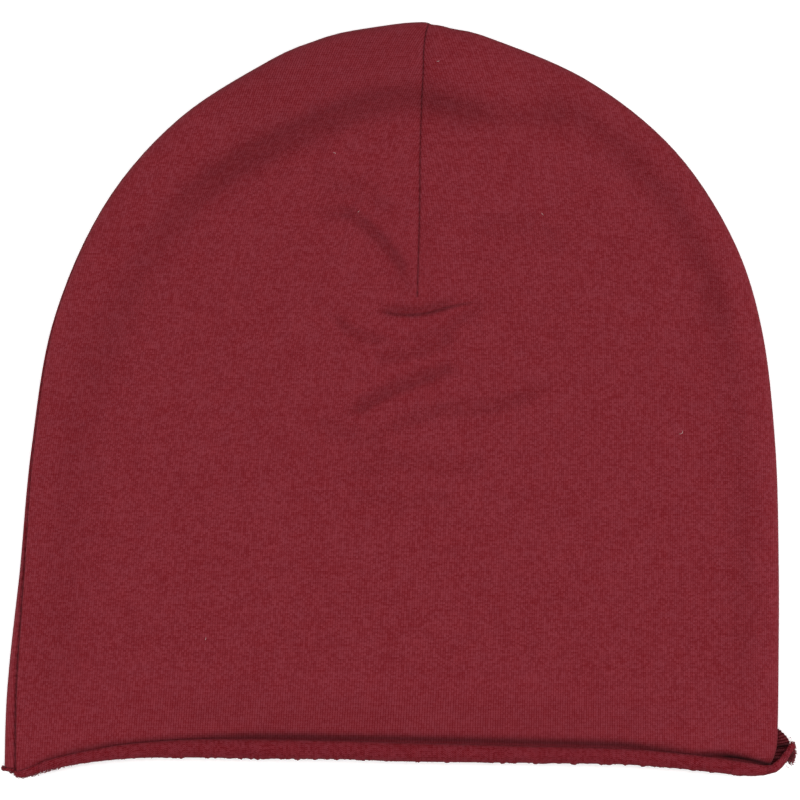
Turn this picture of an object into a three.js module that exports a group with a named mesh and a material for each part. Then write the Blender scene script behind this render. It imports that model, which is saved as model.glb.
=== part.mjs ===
// A jersey beanie lying flat on its back panel, as a three.js scene graph of closed, separate pieces.
// Two arched panels are sewn together round the arch. Each has a dart at the crown, and its raw hem
// rolls outward. Millimetres: X runs across the hat, Y from the mouth to the crown, Z up.
import * as THREE from 'three';

// ---- Driving dimensions -------------------------------------------------------------------------

const WALL = 1.0; // thickness of the jersey
const GAP = 0.3; // clearance between neighbouring pieces
const LOFT = 10.0; // height of the front panel's face over the table
const SHOULDER = 10.0; // how far in from the outline the rounded edge has levelled off
const MOUTH = 5.6; // clear height between the panels at the mouth
const HEM_RISE = 34; // length over which the back panel climbs on to its own rolled hem

const SEAM_PLIES = 2 * WALL + GAP; // thickness of the side seam's allowance
const SEAM_WIDTH = 5.5; // width of that allowance
const LIP_REACH = 1.9; // how far each panel turns in at the seam, from its outer face

const DART = { topX: 7.2, tipX: 5.3, tipY: 31, groove: 1.3, halfWidth: 1.9 };
const DART_SEAM = { width: 5.5, tipWidth: 1.8, past: 0.6, thick: 1.6, bottomY: 34, topInset: 9.3 };

const CLOTH = { color: 0x7b2830, roughness: 0.92, metalness: 0 };
const THREAD = { color: 0x6a1f28, roughness: 0.85, metalness: 0 };

// The outline seen from above, from the left hem corner over the crown to the right hem corner.
const OUTLINE = [
  { x: -118.2, y: -109 },
  { x: -117.5, y: -84 },
  { x: -114.1, y: -50 },
  { x: -110.6, y: -14 },
  { x: -104.0, y: 23.7 },
  { x: -88.9, y: 58.3 },
  { x: -66.7, y: 84.2 },
  { x: -38.7, y: 102.1 },
  { x: -12.6, y: 111.2 },
  { x: 7.2, y: 113.5 },
  { x: 26.9, y: 109.0 },
  { x: 56.6, y: 96.1 },
  { x: 82.3, y: 75.5 },
  { x: 100.1, y: 48.7 },
  { x: 109.0, y: 21 },
  { x: 113.0, y: -14 },
  { x: 114.0, y: -50 },
  { x: 114.2, y: -84 },
  { x: 115.2, y: -104.8 },
];

// The rolled hem: y is where the cloth starts to curl, roll is how wide the front's roll is from above.
const HEM = [
  { x: -119, y: -109.0, roll: 4.0 },
  { x: -112, y: -109.9, roll: 4.0 },
  { x: -103, y: -108.0, roll: 4.4 },
  { x: -94, y: -106.2, roll: 5.0 },
  { x: -76, y: -104.2, roll: 5.5 },
  { x: -45, y: -103.8, roll: 5.8 },
  { x: 0, y: -104.7, roll: 5.6 },
  { x: 56, y: -106.1, roll: 5.2 },
  { x: 92, y: -108.4, roll: 4.8 },
  { x: 106, y: -109.2, roll: 4.8 },
  { x: 112, y: -107.2, roll: 5.4 },
  { x: 116, y: -104.4, roll: 5.6 },
];

// Where the side seam lies round the edge's section: 0 degrees is straight out to the side and 90 is on
// top. Down the left it rolls to the front, so that a strip of the back panel shows there.
const SEAM_ROLL = {
  left: [
    { y: -112, degrees: 47 },
    { y: -84, degrees: 42 },
    { y: -48, degrees: 26 },
    { y: 0, degrees: 8 },
    { y: 24, degrees: 0 },
    { y: 120, degrees: -6 },
  ],
  right: [
    { y: -112, degrees: -4 },
    { y: 0, degrees: -8 },
    { y: 120, degrees: -6 },
  ],
};

// Soft folds of the front panel, each along a path over the cloth. A trough sinks by depth, and a step
// drops by depth from the left of its path to the right. width is how far from the path it reaches.
const FOLDS = [
  { name: 'left shoulder', kind: 'step', depth: 1.1, width: 7,
    path: [[-80, 36], [-70, 54], [-52, 66], [-27, 80], [-10, 88], [2, 90]] },
  { name: 'right shoulder', kind: 'step', depth: 0.9, width: 5,
    path: [[12, 88], [34, 88], [55, 84], [76, 68], [90, 50], [98, 24], [101, -20]] },
  { name: 'left side hollow', kind: 'trough', depth: 0.5, width: 10,
    path: [[-93, 15], [-99, -20], [-101, -58]] },
  { name: 'right side hollow', kind: 'trough', depth: 0.4, width: 8,
    path: [[103, -20], [103, -60], [101, -84]] },
  { name: 'crease under the dart', kind: 'trough', depth: 1.6, width: 2.6,
    path: [[-8, 27], [2, 25.6], [9, 26.3], [16, 28.2], [27, 30]] },
  { name: 'swirl beside the dart', kind: 'trough', depth: 1.2, width: 4.2,
    path: [[-40, 52], [-22, 52], [-11, 53.5], [-4, 46], [1, 34]] },
  { name: 'pull above the swirl', kind: 'trough', depth: 0.6, width: 4,
    path: [[-18, 66], [-6, 61]] },
  { name: 'arc right of the dart', kind: 'trough', depth: 0.7, width: 6,
    path: [[25, 52], [38, 53.5], [46, 42]] },
  { name: 'first fold below', kind: 'trough', depth: 0.8, width: 3.6,
    path: [[-18, 24], [-10, 18], [2, 15], [14, 19], [22, 24]] },
  { name: 'second fold below', kind: 'trough', depth: 0.8, width: 4,
    path: [[-15, -4], [-5, 0], [6, 5.5], [19, 11]] },
  { name: 'third fold below', kind: 'trough', depth: 0.7, width: 5,
    path: [[-4, -9], [12, -4.5], [31, -0.5], [54, 8]] },
];

// The curl of each hem: how far it turns, how much of the table's roll it takes, how flat it is and how
// much its radius shrinks in a full turn. The front's passes under itself, so it tightens by a wall.
const FRONT_SQUASH = 0.8;
const FRONT_CURL = { degrees: 372, share: 1, squash: FRONT_SQUASH, shrink: (WALL + GAP) / FRONT_SQUASH };
const BACK_CURL = { degrees: 240, share: 0.82, squash: 0.6, shrink: 0.6 };

// How finely the cloth is divided. Rows lie below the darts' tips and rays fan round them; columns cross
// the rounded shoulder and then the flat; steps go round the curl.
const ROWS = 16;
const RAYS_A_SIDE = 14;
const FRONT_STEPS = { shoulder: 5, flat: 12, curl: 13 };
const BACK_STEPS = { shoulder: 4, flat: 6, curl: 8 };

// ---- Curves from the tables ---------------------------------------------------------------------

const { lerp, smoothstep, clamp, degToRad } = THREE.MathUtils;

// The value in a table's column at a place along its x or y, joined smoothly from row to row.
function tableValue(table, key, column, at) {
  const last = table.length - 1;
  const next = table.findIndex((row) => row[key] > at);
  if (next === 0) return table[0][column];
  if (next === -1) return table[last][column];
  const slope = (a, b) => (table[b][column] - table[a][column]) / (table[b][key] - table[a][key]);
  const run = table[next][key] - table[next - 1][key];
  const t = (at - table[next - 1][key]) / run;
  const slopeIn = slope(Math.max(next - 2, 0), next) * run;
  const slopeOut = slope(next - 1, Math.min(next + 1, last)) * run;
  const ease = t * t * (3 - 2 * t);
  return lerp(table[next - 1][column], table[next][column], ease)
    + t * (1 - t) * ((1 - t) * slopeIn - t * slopeOut);
}

const OUTLINE_SAMPLES = 800;
const outline = new THREE.SplineCurve(OUTLINE.map(({ x, y }) => new THREE.Vector2(x, y)))
  .getSpacedPoints(OUTLINE_SAMPLES);
const leftCorner = outline[0];
const rightCorner = outline[outline.length - 1];
const dartTip = new THREE.Vector2(DART.tipX, DART.tipY);
const crownTop = outline.reduce((best, point) => (point.y > best.y ? point : best));

// The outline's first point where a measure that grows along it reaches a value.
function outlineWhere(measure, value) {
  const i = Math.max(outline.findIndex((point) => measure(point) >= value), 1);
  const before = measure(outline[i - 1]);
  const after = measure(outline[i]);
  return outline[i - 1].clone().lerp(outline[i], clamp((value - before) / (after - before), 0, 1));
}

// The angle of a point round the dart's tip: 0 on its left, half a turn on its right.
const turnRoundTip = (point) => Math.PI - Math.atan2(point.y - DART.tipY, point.x - DART.tipX);
const isLowLeft = (point) => point.x < DART.tipX && point.y < DART.tipY;
const outlineAtTurn = (turn) => outlineWhere((point) => (isLowLeft(point) ? -1 : turnRoundTip(point)), turn);
const leftOutlineAt = (y) => outlineWhere((point) => point.y, y);
const rightOutlineAt = (y) => outlineWhere((point) => (point.x < DART.tipX ? -Infinity : -point.y), -y);

const hemY = (x) => tableValue(HEM, 'x', 'y', x);
const hemRoll = (x) => tableValue(HEM, 'x', 'roll', x);
const seamTurn = (side, y) => degToRad(tableValue(SEAM_ROLL[side], 'y', 'degrees', y));

// ---- The hem's curl -----------------------------------------------------------------------------

// Where the cloth's middle is after turning by an angle: out past the hem line and up off the panel.
function curlPoint(curl, x, angle) {
  const start = curl.share * (hemRoll(x) - WALL + curl.shrink) / 2;
  const radius = start - curl.shrink * angle / (2 * Math.PI);
  return { out: radius * Math.sin(angle), up: curl.squash * (start - radius * Math.cos(angle)) };
}

// ---- Heights of the lying cloth -----------------------------------------------------------------

const nearHem = (x, y) => 1 - smoothstep(y - hemY(x), 0, HEM_RISE);
const hemLift = (x) => curlPoint(BACK_CURL, x, Math.PI).up;

// The nearest place on a path: its distance, which side of the path the point is on, and where it is
// along the path, from 0 to 1.
function nearestOnPath(path, x, y) {
  const best = { distance: Infinity, side: 0, at: 0 };
  const pieces = path.length - 1;
  for (let i = 0; i < pieces; i += 1) {
    const [ax, ay] = path[i];
    const [bx, by] = path[i + 1];
    const along = ((x - ax) * (bx - ax) + (y - ay) * (by - ay)) / ((bx - ax) ** 2 + (by - ay) ** 2);
    const t = clamp(along, 0, 1);
    const dx = x - lerp(ax, bx, t);
    const dy = y - lerp(ay, by, t);
    const distance = Math.hypot(dx, dy);
    if (distance < best.distance) {
      best.distance = distance;
      best.side = Math.sign((bx - ax) * dy - (by - ay) * dx);
      best.at = (i + t) / pieces;
    }
  }
  return best;
}

const FADE = 0.22; // share of a fold's path over which each end runs out
const STEP_CALM = 3; // widths from its path at which a step has come back to the cloth's level

function foldHeight(fold, x, y) {
  const { distance, side, at } = nearestOnPath(fold.path, x, y);
  const strength = fold.depth * smoothstep(at, 0, FADE) * (1 - smoothstep(at, 1 - FADE, 1));
  const reach = distance / fold.width;
  if (fold.kind === 'trough') return -strength * Math.exp(-reach * reach);
  return strength / 2 * side * Math.tanh(reach) * (1 - smoothstep(reach, 1, STEP_CALM));
}

// The groove along a dart's stitches, which runs out at its tip.
function dartGroove(x, y) {
  const lineX = lerp(DART.tipX, DART.topX, (y - DART.tipY) / (crownTop.y - DART.tipY));
  const across = (x - lineX) / DART.halfWidth;
  return DART.groove * smoothstep(y, DART.tipY - 2, DART.tipY + 16) * Math.exp(-across * across);
}

// Heights of the panels' outer faces at a place and its inset from the outline.
function frontFace(x, y, inset) {
  const hem = nearHem(x, y);
  const level = lerp(LOFT, hemLift(x) + 2 * WALL + MOUTH, hem);
  const folds = FOLDS.reduce((sum, fold) => sum + foldHeight(fold, x, y), 0);
  const awayFromEdges = smoothstep(inset, SHOULDER * 0.4, SHOULDER * 1.3) * (1 - hem);
  return level + folds * awayFromEdges - dartGroove(x, y);
}
const backFace = (x, y) => hemLift(x) * nearHem(x, y) + dartGroove(x, y);

// ---- Lines across the hat -----------------------------------------------------------------------

// Rows run from the outline in to the middle line below the dart, rays from the arch to the dart's tip.
// They are in order from the left hem corner round the crown to the right hem corner.
function makeLines() {
  const rowShares = Array.from({ length: ROWS + 1 }, (_, i) => 1 - (1 - i / ROWS) ** 1.5);
  const row = (side) => (share) => {
    const corner = side === 'left' ? leftCorner : rightCorner;
    const y = lerp(corner.y, DART.tipY, share);
    const edge = side === 'left' ? leftOutlineAt(y) : rightOutlineAt(y);
    const inward = new THREE.Vector2(side === 'left' ? 1 : -1, 0);
    return { side, share, edge, inward, reach: Math.abs(edge.x - DART.tipX) };
  };
  const ray = (side) => (turn) => {
    const edge = outlineAtTurn(turn);
    const inward = dartTip.clone().sub(edge).normalize();
    return { side, edge, inward, reach: edge.distanceTo(dartTip) };
  };
  const crowding = 1.6; // draws the rays together towards the dart's groove
  const parts = Array.from({ length: RAYS_A_SIDE }, (_, i) => (i + 1) / RAYS_A_SIDE);
  const crownTurn = turnRoundTip(crownTop);
  const leftTurns = parts.map((part) => crownTurn * (1 - (1 - part) ** crowding));
  const rightTurns = parts.map((part) => lerp(crownTurn, Math.PI, part ** crowding)).slice(0, -1);
  return [
    ...rowShares.map(row('left')),
    ...leftTurns.map(ray('left')),
    ...rightTurns.map(ray('right')),
    ...rowShares.map(row('right')).reverse(),
  ];
}
const lines = makeLines();

// The middle of a panel's wall at an inset along a line. sine is 0 at the edge's side, 1 on the flat.
function wallPoint(panel, line, inset, sine) {
  const x = line.edge.x + line.inward.x * inset;
  const y = line.share === undefined
    ? line.edge.y + line.inward.y * inset
    : lerp(hemY(x), DART.tipY, line.share);
  const top = frontFace(x, y, inset) - WALL / 2;
  const bottom = backFace(x, y) + WALL / 2;
  const face = panel === 'front' ? top : bottom;
  return new THREE.Vector3(x, y, lerp((top + bottom) / 2, face, sine));
}

// A point of the rounded edge, by its angle from straight out, and the way out of the cloth there.
function shoulderPoint(panel, line, angle) {
  const at = (turn) => {
    const inset = lerp(SHOULDER, WALL / 2, Math.cos(turn));
    return wallPoint(panel, line, inset, Math.sin(turn));
  };
  const step = 1e-3;
  const along = at(angle + step).sub(at(angle - step)).normalize();
  const inward = along.x * line.inward.x + along.y * line.inward.y;
  const turn = panel === 'front' ? 1 : -1;
  const out = new THREE.Vector3(-along.z * line.inward.x, -along.z * line.inward.y, inward)
    .multiplyScalar(turn).normalize();
  return { point: at(angle), along, out };
}

// Where the panels meet along a line.
function seamPoint(panel, line) {
  const turn = seamTurn(line.side, line.edge.y) * (panel === 'front' ? 1 : -1);
  return { turn, ...shoulderPoint(panel, line, turn) };
}

// A panel's wall along a line, as points with the way out at each: the lip that is turned in at the
// seam, the rounded shoulder and the flat.
function wallAlong(panel, steps, line) {
  const seam = seamPoint(panel, line);
  const lip = [LIP_REACH - WALL / 2, WALL * 0.45].map((depth) => ({
    point: seam.point.clone()
      .addScaledVector(seam.along, (SEAM_PLIES - WALL) / 2)
      .addScaledVector(seam.out, -depth),
    out: seam.out,
  }));
  const pastLip = 3 * WALL / LOFT;
  const shoulder = Array.from({ length: steps.shoulder + 1 }, (_, i) => shoulderPoint(
    panel, line, lerp(seam.turn + pastLip, Math.PI / 2, i / steps.shoulder)));
  const up = new THREE.Vector3(0, 0, panel === 'front' ? 1 : -1);
  const flat = Array.from({ length: steps.flat }, (_, i) => {
    const part = (i + 1) / steps.flat;
    const inset = lerp(SHOULDER, line.reach, part * (1.35 - 0.35 * part));
    return { point: wallPoint(panel, line, inset, 1), out: up };
  });
  return [...lip, ...shoulder, ...flat];
}

// ---- Closed walls from sheets -------------------------------------------------------------------

// Joins rows of points into a sheet of triangles, merging points that coincide.
class Sheet {
  points = [];
  triangles = [];
  places = new Map();

  index(point) {
    const key = point.toArray().map((value) => Math.round(value * 1e3)).join();
    if (!this.places.has(key)) this.places.set(key, this.points.push(point) - 1);
    return this.places.get(key);
  }

  addRows(rows) {
    for (let i = 1; i < rows.length; i += 1) {
      for (let j = 1; j < rows[i].length; j += 1) {
        const [a, b, c, d] = [rows[i - 1][j - 1], rows[i - 1][j], rows[i][j], rows[i][j - 1]];
        const halves = a.distanceTo(c) < b.distanceTo(d) ? [[a, b, c], [a, c, d]] : [[a, b, d], [b, c, d]];
        for (const corners of halves) {
          const triangle = corners.map((point) => this.index(point));
          if (new Set(triangle).size === 3) this.triangles.push(triangle);
        }
      }
    }
  }

  // Unit normals at the points, averaged over the triangles by area.
  normals() {
    const normals = this.points.map(() => new THREE.Vector3());
    for (const [a, b, c] of this.triangles) {
      const [p, q, r] = [this.points[a], this.points[b], this.points[c]];
      const face = q.clone().sub(p).cross(r.clone().sub(p));
      for (const i of [a, b, c]) normals[i].add(face);
    }
    return normals.map((normal) => normal.normalize());
  }

  // The closed wall of a thickness that has this sheet in its middle.
  thickened(thickness) {
    const normals = this.normals();
    const count = this.points.length;
    const shifted = (amount) => this.points.flatMap(
      (point, i) => point.clone().addScaledVector(normals[i], amount).toArray());
    const faces = this.triangles.flat();
    for (const [a, b, c] of this.triangles) faces.push(c + count, b + count, a + count);
    const edges = new Set(this.triangles.flatMap(([a, b, c]) => [`${a},${b}`, `${b},${c}`, `${c},${a}`]));
    for (const edge of edges) {
      const [a, b] = edge.split(',').map(Number);
      if (!edges.has(`${b},${a}`)) faces.push(b, a, a + count, b, a + count, b + count);
    }
    return closedGeometry([...shifted(thickness / 2), ...shifted(-thickness / 2)], faces);
  }
}

// A geometry from coordinates and triangles, with its faces turned outward.
function closedGeometry(coordinates, faces) {
  const corner = (i) => new THREE.Vector3().fromArray(coordinates, 3 * faces[i]);
  let volume = 0;
  for (let i = 0; i < faces.length; i += 3) volume += corner(i).dot(corner(i + 1).cross(corner(i + 2)));
  const geometry = new THREE.BufferGeometry();
  geometry.setAttribute('position', new THREE.Float32BufferAttribute(coordinates, 3));
  geometry.setIndex(volume > 0 ? faces : [...faces].reverse());
  geometry.computeVertexNormals();
  return geometry;
}

// ---- Pieces -------------------------------------------------------------------------------------

// One panel: its lines across the hat, and the hem that curls outward from the ends of the first and
// last of them.
function panelGeometry(panel, steps, curl) {
  const walls = lines.map((line) => wallAlong(panel, steps, line));
  const hem = [...walls[0], ...walls[walls.length - 1].slice(0, -1).reverse()];
  const curled = Array.from({ length: steps.curl + 1 }, (_, i) => {
    const angle = degToRad(curl.degrees * i / steps.curl);
    return hem.map(({ point, out }) => {
      const place = curlPoint(curl, point.x, angle);
      return point.clone().add(new THREE.Vector3(0, -place.out, 0)).addScaledVector(out, place.up);
    });
  });
  const sheet = new Sheet();
  sheet.addRows(walls.map((wall) => wall.map(({ point }) => point)));
  sheet.addRows(curled.reverse());
  return sheet.thickened(WALL);
}

// The side seam's allowance: a flat band inside the arch, just clear of the panels' lips.
function sideSeamGeometry() {
  const sections = lines.map((line) => {
    const { point, out } = seamPoint('front', line);
    const inward = new THREE.Vector3(line.inward.x, line.inward.y, 0);
    const tilt = Math.abs(out.z);
    const start = point.clone()
      .addScaledVector(out, -(LIP_REACH - WALL / 2 + GAP + tilt * SEAM_PLIES / 2));
    const corner = (across, up) => start.clone()
      .addScaledVector(inward, across * SEAM_WIDTH)
      .add(new THREE.Vector3(0, 0, up * SEAM_PLIES / 2));
    return [corner(0, -1), corner(1, -1), corner(1, 1), corner(0, 1)];
  });
  const sides = sections[0].length;
  const faces = [0, 1, 2, 0, 2, 3];
  for (let i = 0; i < sections.length - 1; i += 1) {
    for (let j = 0; j < sides; j += 1) {
      const [a, b] = [i * sides + j, i * sides + (j + 1) % sides];
      faces.push(b, a, a + sides, b, a + sides, b + sides);
    }
  }
  const end = (sections.length - 1) * sides;
  faces.push(end + 2, end + 1, end, end + 3, end + 2, end);
  return closedGeometry(sections.flat().flatMap((point) => point.toArray()), faces);
}

// A dart's allowance: a flat strip inside the panel, folded to one side of the stitch line.
function dartSeamGeometry(foldSide) {
  const topY = crownTop.y - DART_SEAM.topInset;
  const lineX = (y) => lerp(DART.tipX, DART.topX, (y - DART.tipY) / (crownTop.y - DART.tipY));
  const corners = [
    [lineX(DART_SEAM.bottomY) - foldSide * DART_SEAM.past, DART_SEAM.bottomY],
    [lineX(DART_SEAM.bottomY) + foldSide * DART_SEAM.tipWidth, DART_SEAM.bottomY],
    [lineX(topY) + foldSide * DART_SEAM.width, topY],
    [lineX(topY) - foldSide * DART_SEAM.past, topY],
  ];
  const shape = new THREE.Shape(corners.map(([x, y]) => new THREE.Vector2(x, y)));
  return new THREE.ExtrudeGeometry(shape, { depth: DART_SEAM.thick, bevelEnabled: false });
}

function piece(name, geometry, finish, z = 0) {
  const mesh = new THREE.Mesh(geometry, new THREE.MeshStandardMaterial(finish));
  mesh.name = name;
  mesh.position.z = z;
  return mesh;
}

const dartClearance = DART.groove + WALL + GAP;
const beanie = new THREE.Group();
beanie.add(
  piece('front_panel', panelGeometry('front', FRONT_STEPS, FRONT_CURL), CLOTH),
  piece('back_panel', panelGeometry('back', BACK_STEPS, BACK_CURL), CLOTH),
  piece('side_seam', sideSeamGeometry(), THREAD),
  piece('front_dart_seam', dartSeamGeometry(-1), THREAD, LOFT - dartClearance - DART_SEAM.thick),
  piece('back_dart_seam', dartSeamGeometry(1), THREAD, dartClearance),
);

export default beanie;
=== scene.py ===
# %% [markdown]
# # A jersey beanie, laid flat
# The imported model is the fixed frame: its nodes say where everything is, in metres. Each cloth piece
# below is cut and sewn over a node and then stands for it, so the measuring comes first.

import math

import bmesh
import bpy
import mathutils
import numpy as np
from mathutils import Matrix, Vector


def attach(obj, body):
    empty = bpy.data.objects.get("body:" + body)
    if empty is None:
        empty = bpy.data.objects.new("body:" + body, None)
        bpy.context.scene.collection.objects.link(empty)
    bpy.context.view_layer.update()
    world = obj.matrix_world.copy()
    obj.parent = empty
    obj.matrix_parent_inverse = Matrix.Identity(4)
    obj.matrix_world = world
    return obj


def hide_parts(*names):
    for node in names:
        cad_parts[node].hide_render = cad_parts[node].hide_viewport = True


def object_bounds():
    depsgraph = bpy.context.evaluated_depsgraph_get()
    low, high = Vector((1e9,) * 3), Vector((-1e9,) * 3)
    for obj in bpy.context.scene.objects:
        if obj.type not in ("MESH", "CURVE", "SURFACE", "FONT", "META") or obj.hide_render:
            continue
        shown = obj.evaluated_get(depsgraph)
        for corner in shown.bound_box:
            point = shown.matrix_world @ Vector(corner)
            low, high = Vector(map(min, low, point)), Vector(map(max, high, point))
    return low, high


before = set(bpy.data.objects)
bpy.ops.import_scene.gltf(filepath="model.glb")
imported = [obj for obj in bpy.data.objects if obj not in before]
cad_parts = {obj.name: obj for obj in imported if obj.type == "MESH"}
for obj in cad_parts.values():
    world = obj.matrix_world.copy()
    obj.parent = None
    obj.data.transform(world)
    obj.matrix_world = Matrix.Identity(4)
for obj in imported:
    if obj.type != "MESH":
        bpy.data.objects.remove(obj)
cad_low, cad_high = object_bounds()
MM = 0.001
scene = bpy.context.scene
print("the hat's box, mm:", [round(c / MM, 2) for c in (*cad_low, *cad_high)])

# %% [markdown]
# The camera looks straight down, as is usual for clothes that are laid out on a table. A long lens a good
# way off keeps the sides from leaning. The hat's crown points up and its mouth down.

# %% Camera
camera_data = bpy.data.cameras.new("camera")
camera_data.sensor_width = 36
camera_data.lens = 180
camera = bpy.data.objects.new("camera", camera_data)
scene.collection.objects.link(camera)
PICTURE_WIDTH = 0.240
cloth_level = (cad_low.z + cad_high.z) / 2
CENTRE_X = 0.00015
camera.location = (CENTRE_X, 0.0, cloth_level + PICTURE_WIDTH * camera_data.lens / camera_data.sensor_width)
camera_data.clip_start, camera_data.clip_end = 0.05, 20
scene.camera = camera
print("camera height, m:", round(camera.location.z, 3))

# %% [markdown]
# The floor is one pale face. A big soft panel hangs overhead and a tall one stands at each side, so that
# folds show only as a gentle shade. The world, and a little glow from the floor, fill the rest evenly.

# %% Floor and light
def set_values(node, **values):
    """Sets a node's unlinked inputs: a socket's name with _ for each space."""
    for label, value in values.items():
        node.inputs[label.replace("_", " ")].default_value = value


def new_material(name, **values):
    """A material with its node tree and its Principled shader, whose plain values are given."""
    material = bpy.data.materials.new(name)
    material.use_nodes = True
    shader = material.node_tree.nodes["Principled BSDF"]
    set_values(shader, **values)
    return material, material.node_tree, shader


def object_from(bm, name, *materials):
    mesh = bpy.data.meshes.new(name)
    bm.to_mesh(mesh)
    bm.free()
    mesh.shade_smooth()
    for material in materials:
        mesh.materials.append(material)
    made = bpy.data.objects.new(name, mesh)
    scene.collection.objects.link(made)
    return made


bm = bmesh.new()
bmesh.ops.create_grid(bm, x_segments=1, y_segments=1, size=3.0)
WHITE = (1, 1, 1, 1)
pale_floor, *_ = new_material("pale_floor", Base_Color=(0.93, 0.93, 0.93, 1), Roughness=0.9,
                              Emission_Color=WHITE, Emission_Strength=0.27)
floor = object_from(bm, "floor", pale_floor)


def soft_light(name, place, aim, size, power):
    data = bpy.data.lights.new(name, "AREA")
    data.shape = "RECTANGLE"
    data.size, data.size_y = size
    data.energy = power
    lamp = bpy.data.objects.new(name, data)
    scene.collection.objects.link(lamp)
    lamp.location = place
    direction = np.array(aim, float) - np.array(place, float)
    lamp.rotation_euler = mathutils.Vector(direction).to_track_quat("-Z", "Y").to_euler()
    return lamp


soft_light("light_above", (0.0, 0.0, 2.0), (0, 0, 0), (0.8, 0.8), 26)
soft_light("light_left", (-0.95, 0.05, 0.55), (0, 0, 0), (0.5, 1.2), 5.0)
soft_light("light_right", (0.95, 0.0, 0.55), (0, 0, 0), (0.5, 1.2), 6.4)
world = bpy.data.worlds.new("even_light")
scene.world = world
world.use_nodes = True
set_values(world.node_tree.nodes["Background"], Color=WHITE, Strength=0.135)
scene.view_settings.view_transform = "Standard"

# %% [markdown]
# The pattern of the hat, in millimetres: the outline from the left hem corner over the crown to the
# right one, and where the side seam lies round the edge (0 degrees is straight out, 90 on top).

# %% Outline and seam
WALL = 0.8
LOFT, SHOULDER, MOUTH, HEM_RISE = 10.0, 10.0, 5.6, 34.0
TIP = np.array([5.3, 31.0])
OUTLINE = [
    (-118.6, -109), (-117.8, -84), (-114.1, -50), (-110.6, -14), (-104.0, 23.7), (-88.9, 58.3),
    (-66.7, 84.2), (-38.7, 102.3), (-24.0, 108.5), (-17.9, 110.35), (-12.0, 111.45), (-3.0, 112.8),
    (1.8, 113.4), (6.4, 113.65), (8.4, 113.5), (9.8, 112.95), (12.4, 112.65), (16, 111.7), (26.9, 109.0),
    (56.6, 96.1), (82.3, 75.5), (100.1, 48.7), (109.0, 21), (113.0, -14), (114.0, -50), (113.9, -84),
    (113.6, -99.2), (113.4, -103.4), (112.8, -106.2), (111.7, -108.6), (110.4, -110.6),
]
DART_TOP = 8.6
SEAM_LEFT = [(-112, 47), (-84, 42), (-48, 27), (-20, 20), (10, 18), (34, 15), (60, 10), (90, 8), (120, 4)]
SEAM_RIGHT = [(-112, -4), (-60, -2), (0, 1), (60, 5), (120, 4)]


def read(table, at):
    """The smooth curve through a table's rows, read at places along its first column."""
    xs, ys = np.array(table, float).T
    last = len(xs) - 1
    before, after = np.maximum(np.arange(last + 1) - 1, 0), np.minimum(np.arange(last + 1) + 1, last)
    slopes = (ys[after] - ys[before]) / (xs[after] - xs[before])
    at = np.clip(np.asarray(at, float), xs[0], xs[-1])
    i = np.clip(np.searchsorted(xs, at, side="right") - 1, 0, last - 1)
    run = xs[i + 1] - xs[i]
    t = (at - xs[i]) / run
    ease = t * t * (3 - 2 * t)
    bend = t * (1 - t) * ((1 - t) * slopes[i] - t * slopes[i + 1]) * run
    return ys[i] + (ys[i + 1] - ys[i]) * ease + bend


def smooth(value, low, high):
    t = np.clip((value - low) / (high - low), 0, 1)
    return t * t * (3 - 2 * t)


def spline(points, samples):
    """Evenly spaced points on the smooth curve through a few points."""
    p = np.array(points, float)
    p = np.vstack([p[0], p, p[-1]])
    parts = []
    for a, b, c, d in zip(p, p[1:], p[2:], p[3:]):
        t = np.linspace(0, 1, 120, endpoint=False)[:, None]
        parts.append(b + (c - a) / 2 * t + (3 * (c - b) - (c - a) - (d - b) / 2) * t**2
                     + (2 * (b - c) + (c - a) / 2 + (d - b) / 2) * t**3)
    line = np.vstack([*parts, p[-1:]])
    length = np.concatenate([[0], np.cumsum(np.linalg.norm(np.diff(line, axis=0), axis=1))])
    even = np.linspace(0, length[-1], samples)
    return np.column_stack([np.interp(even, length, column) for column in line.T])


outline = spline(OUTLINE, 4001)
top = int(np.abs(outline[:, 0] - DART_TOP).argmin())
crown = outline[top]
print("crown at, mm:", crown.round(1), " width, mm:", np.ptp(outline[:, 0]).round(1))

# %% [markdown]
# Raw jersey curls towards its face, so the hem rolls outward by itself. Along the hem the table gives
# where the curl starts, the cloth's bending radius there, after 60 degrees, after 110 and at its end, and
# how far it has turned. At the right side seam the stiff allowance opens the roll into a small flare.

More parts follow.
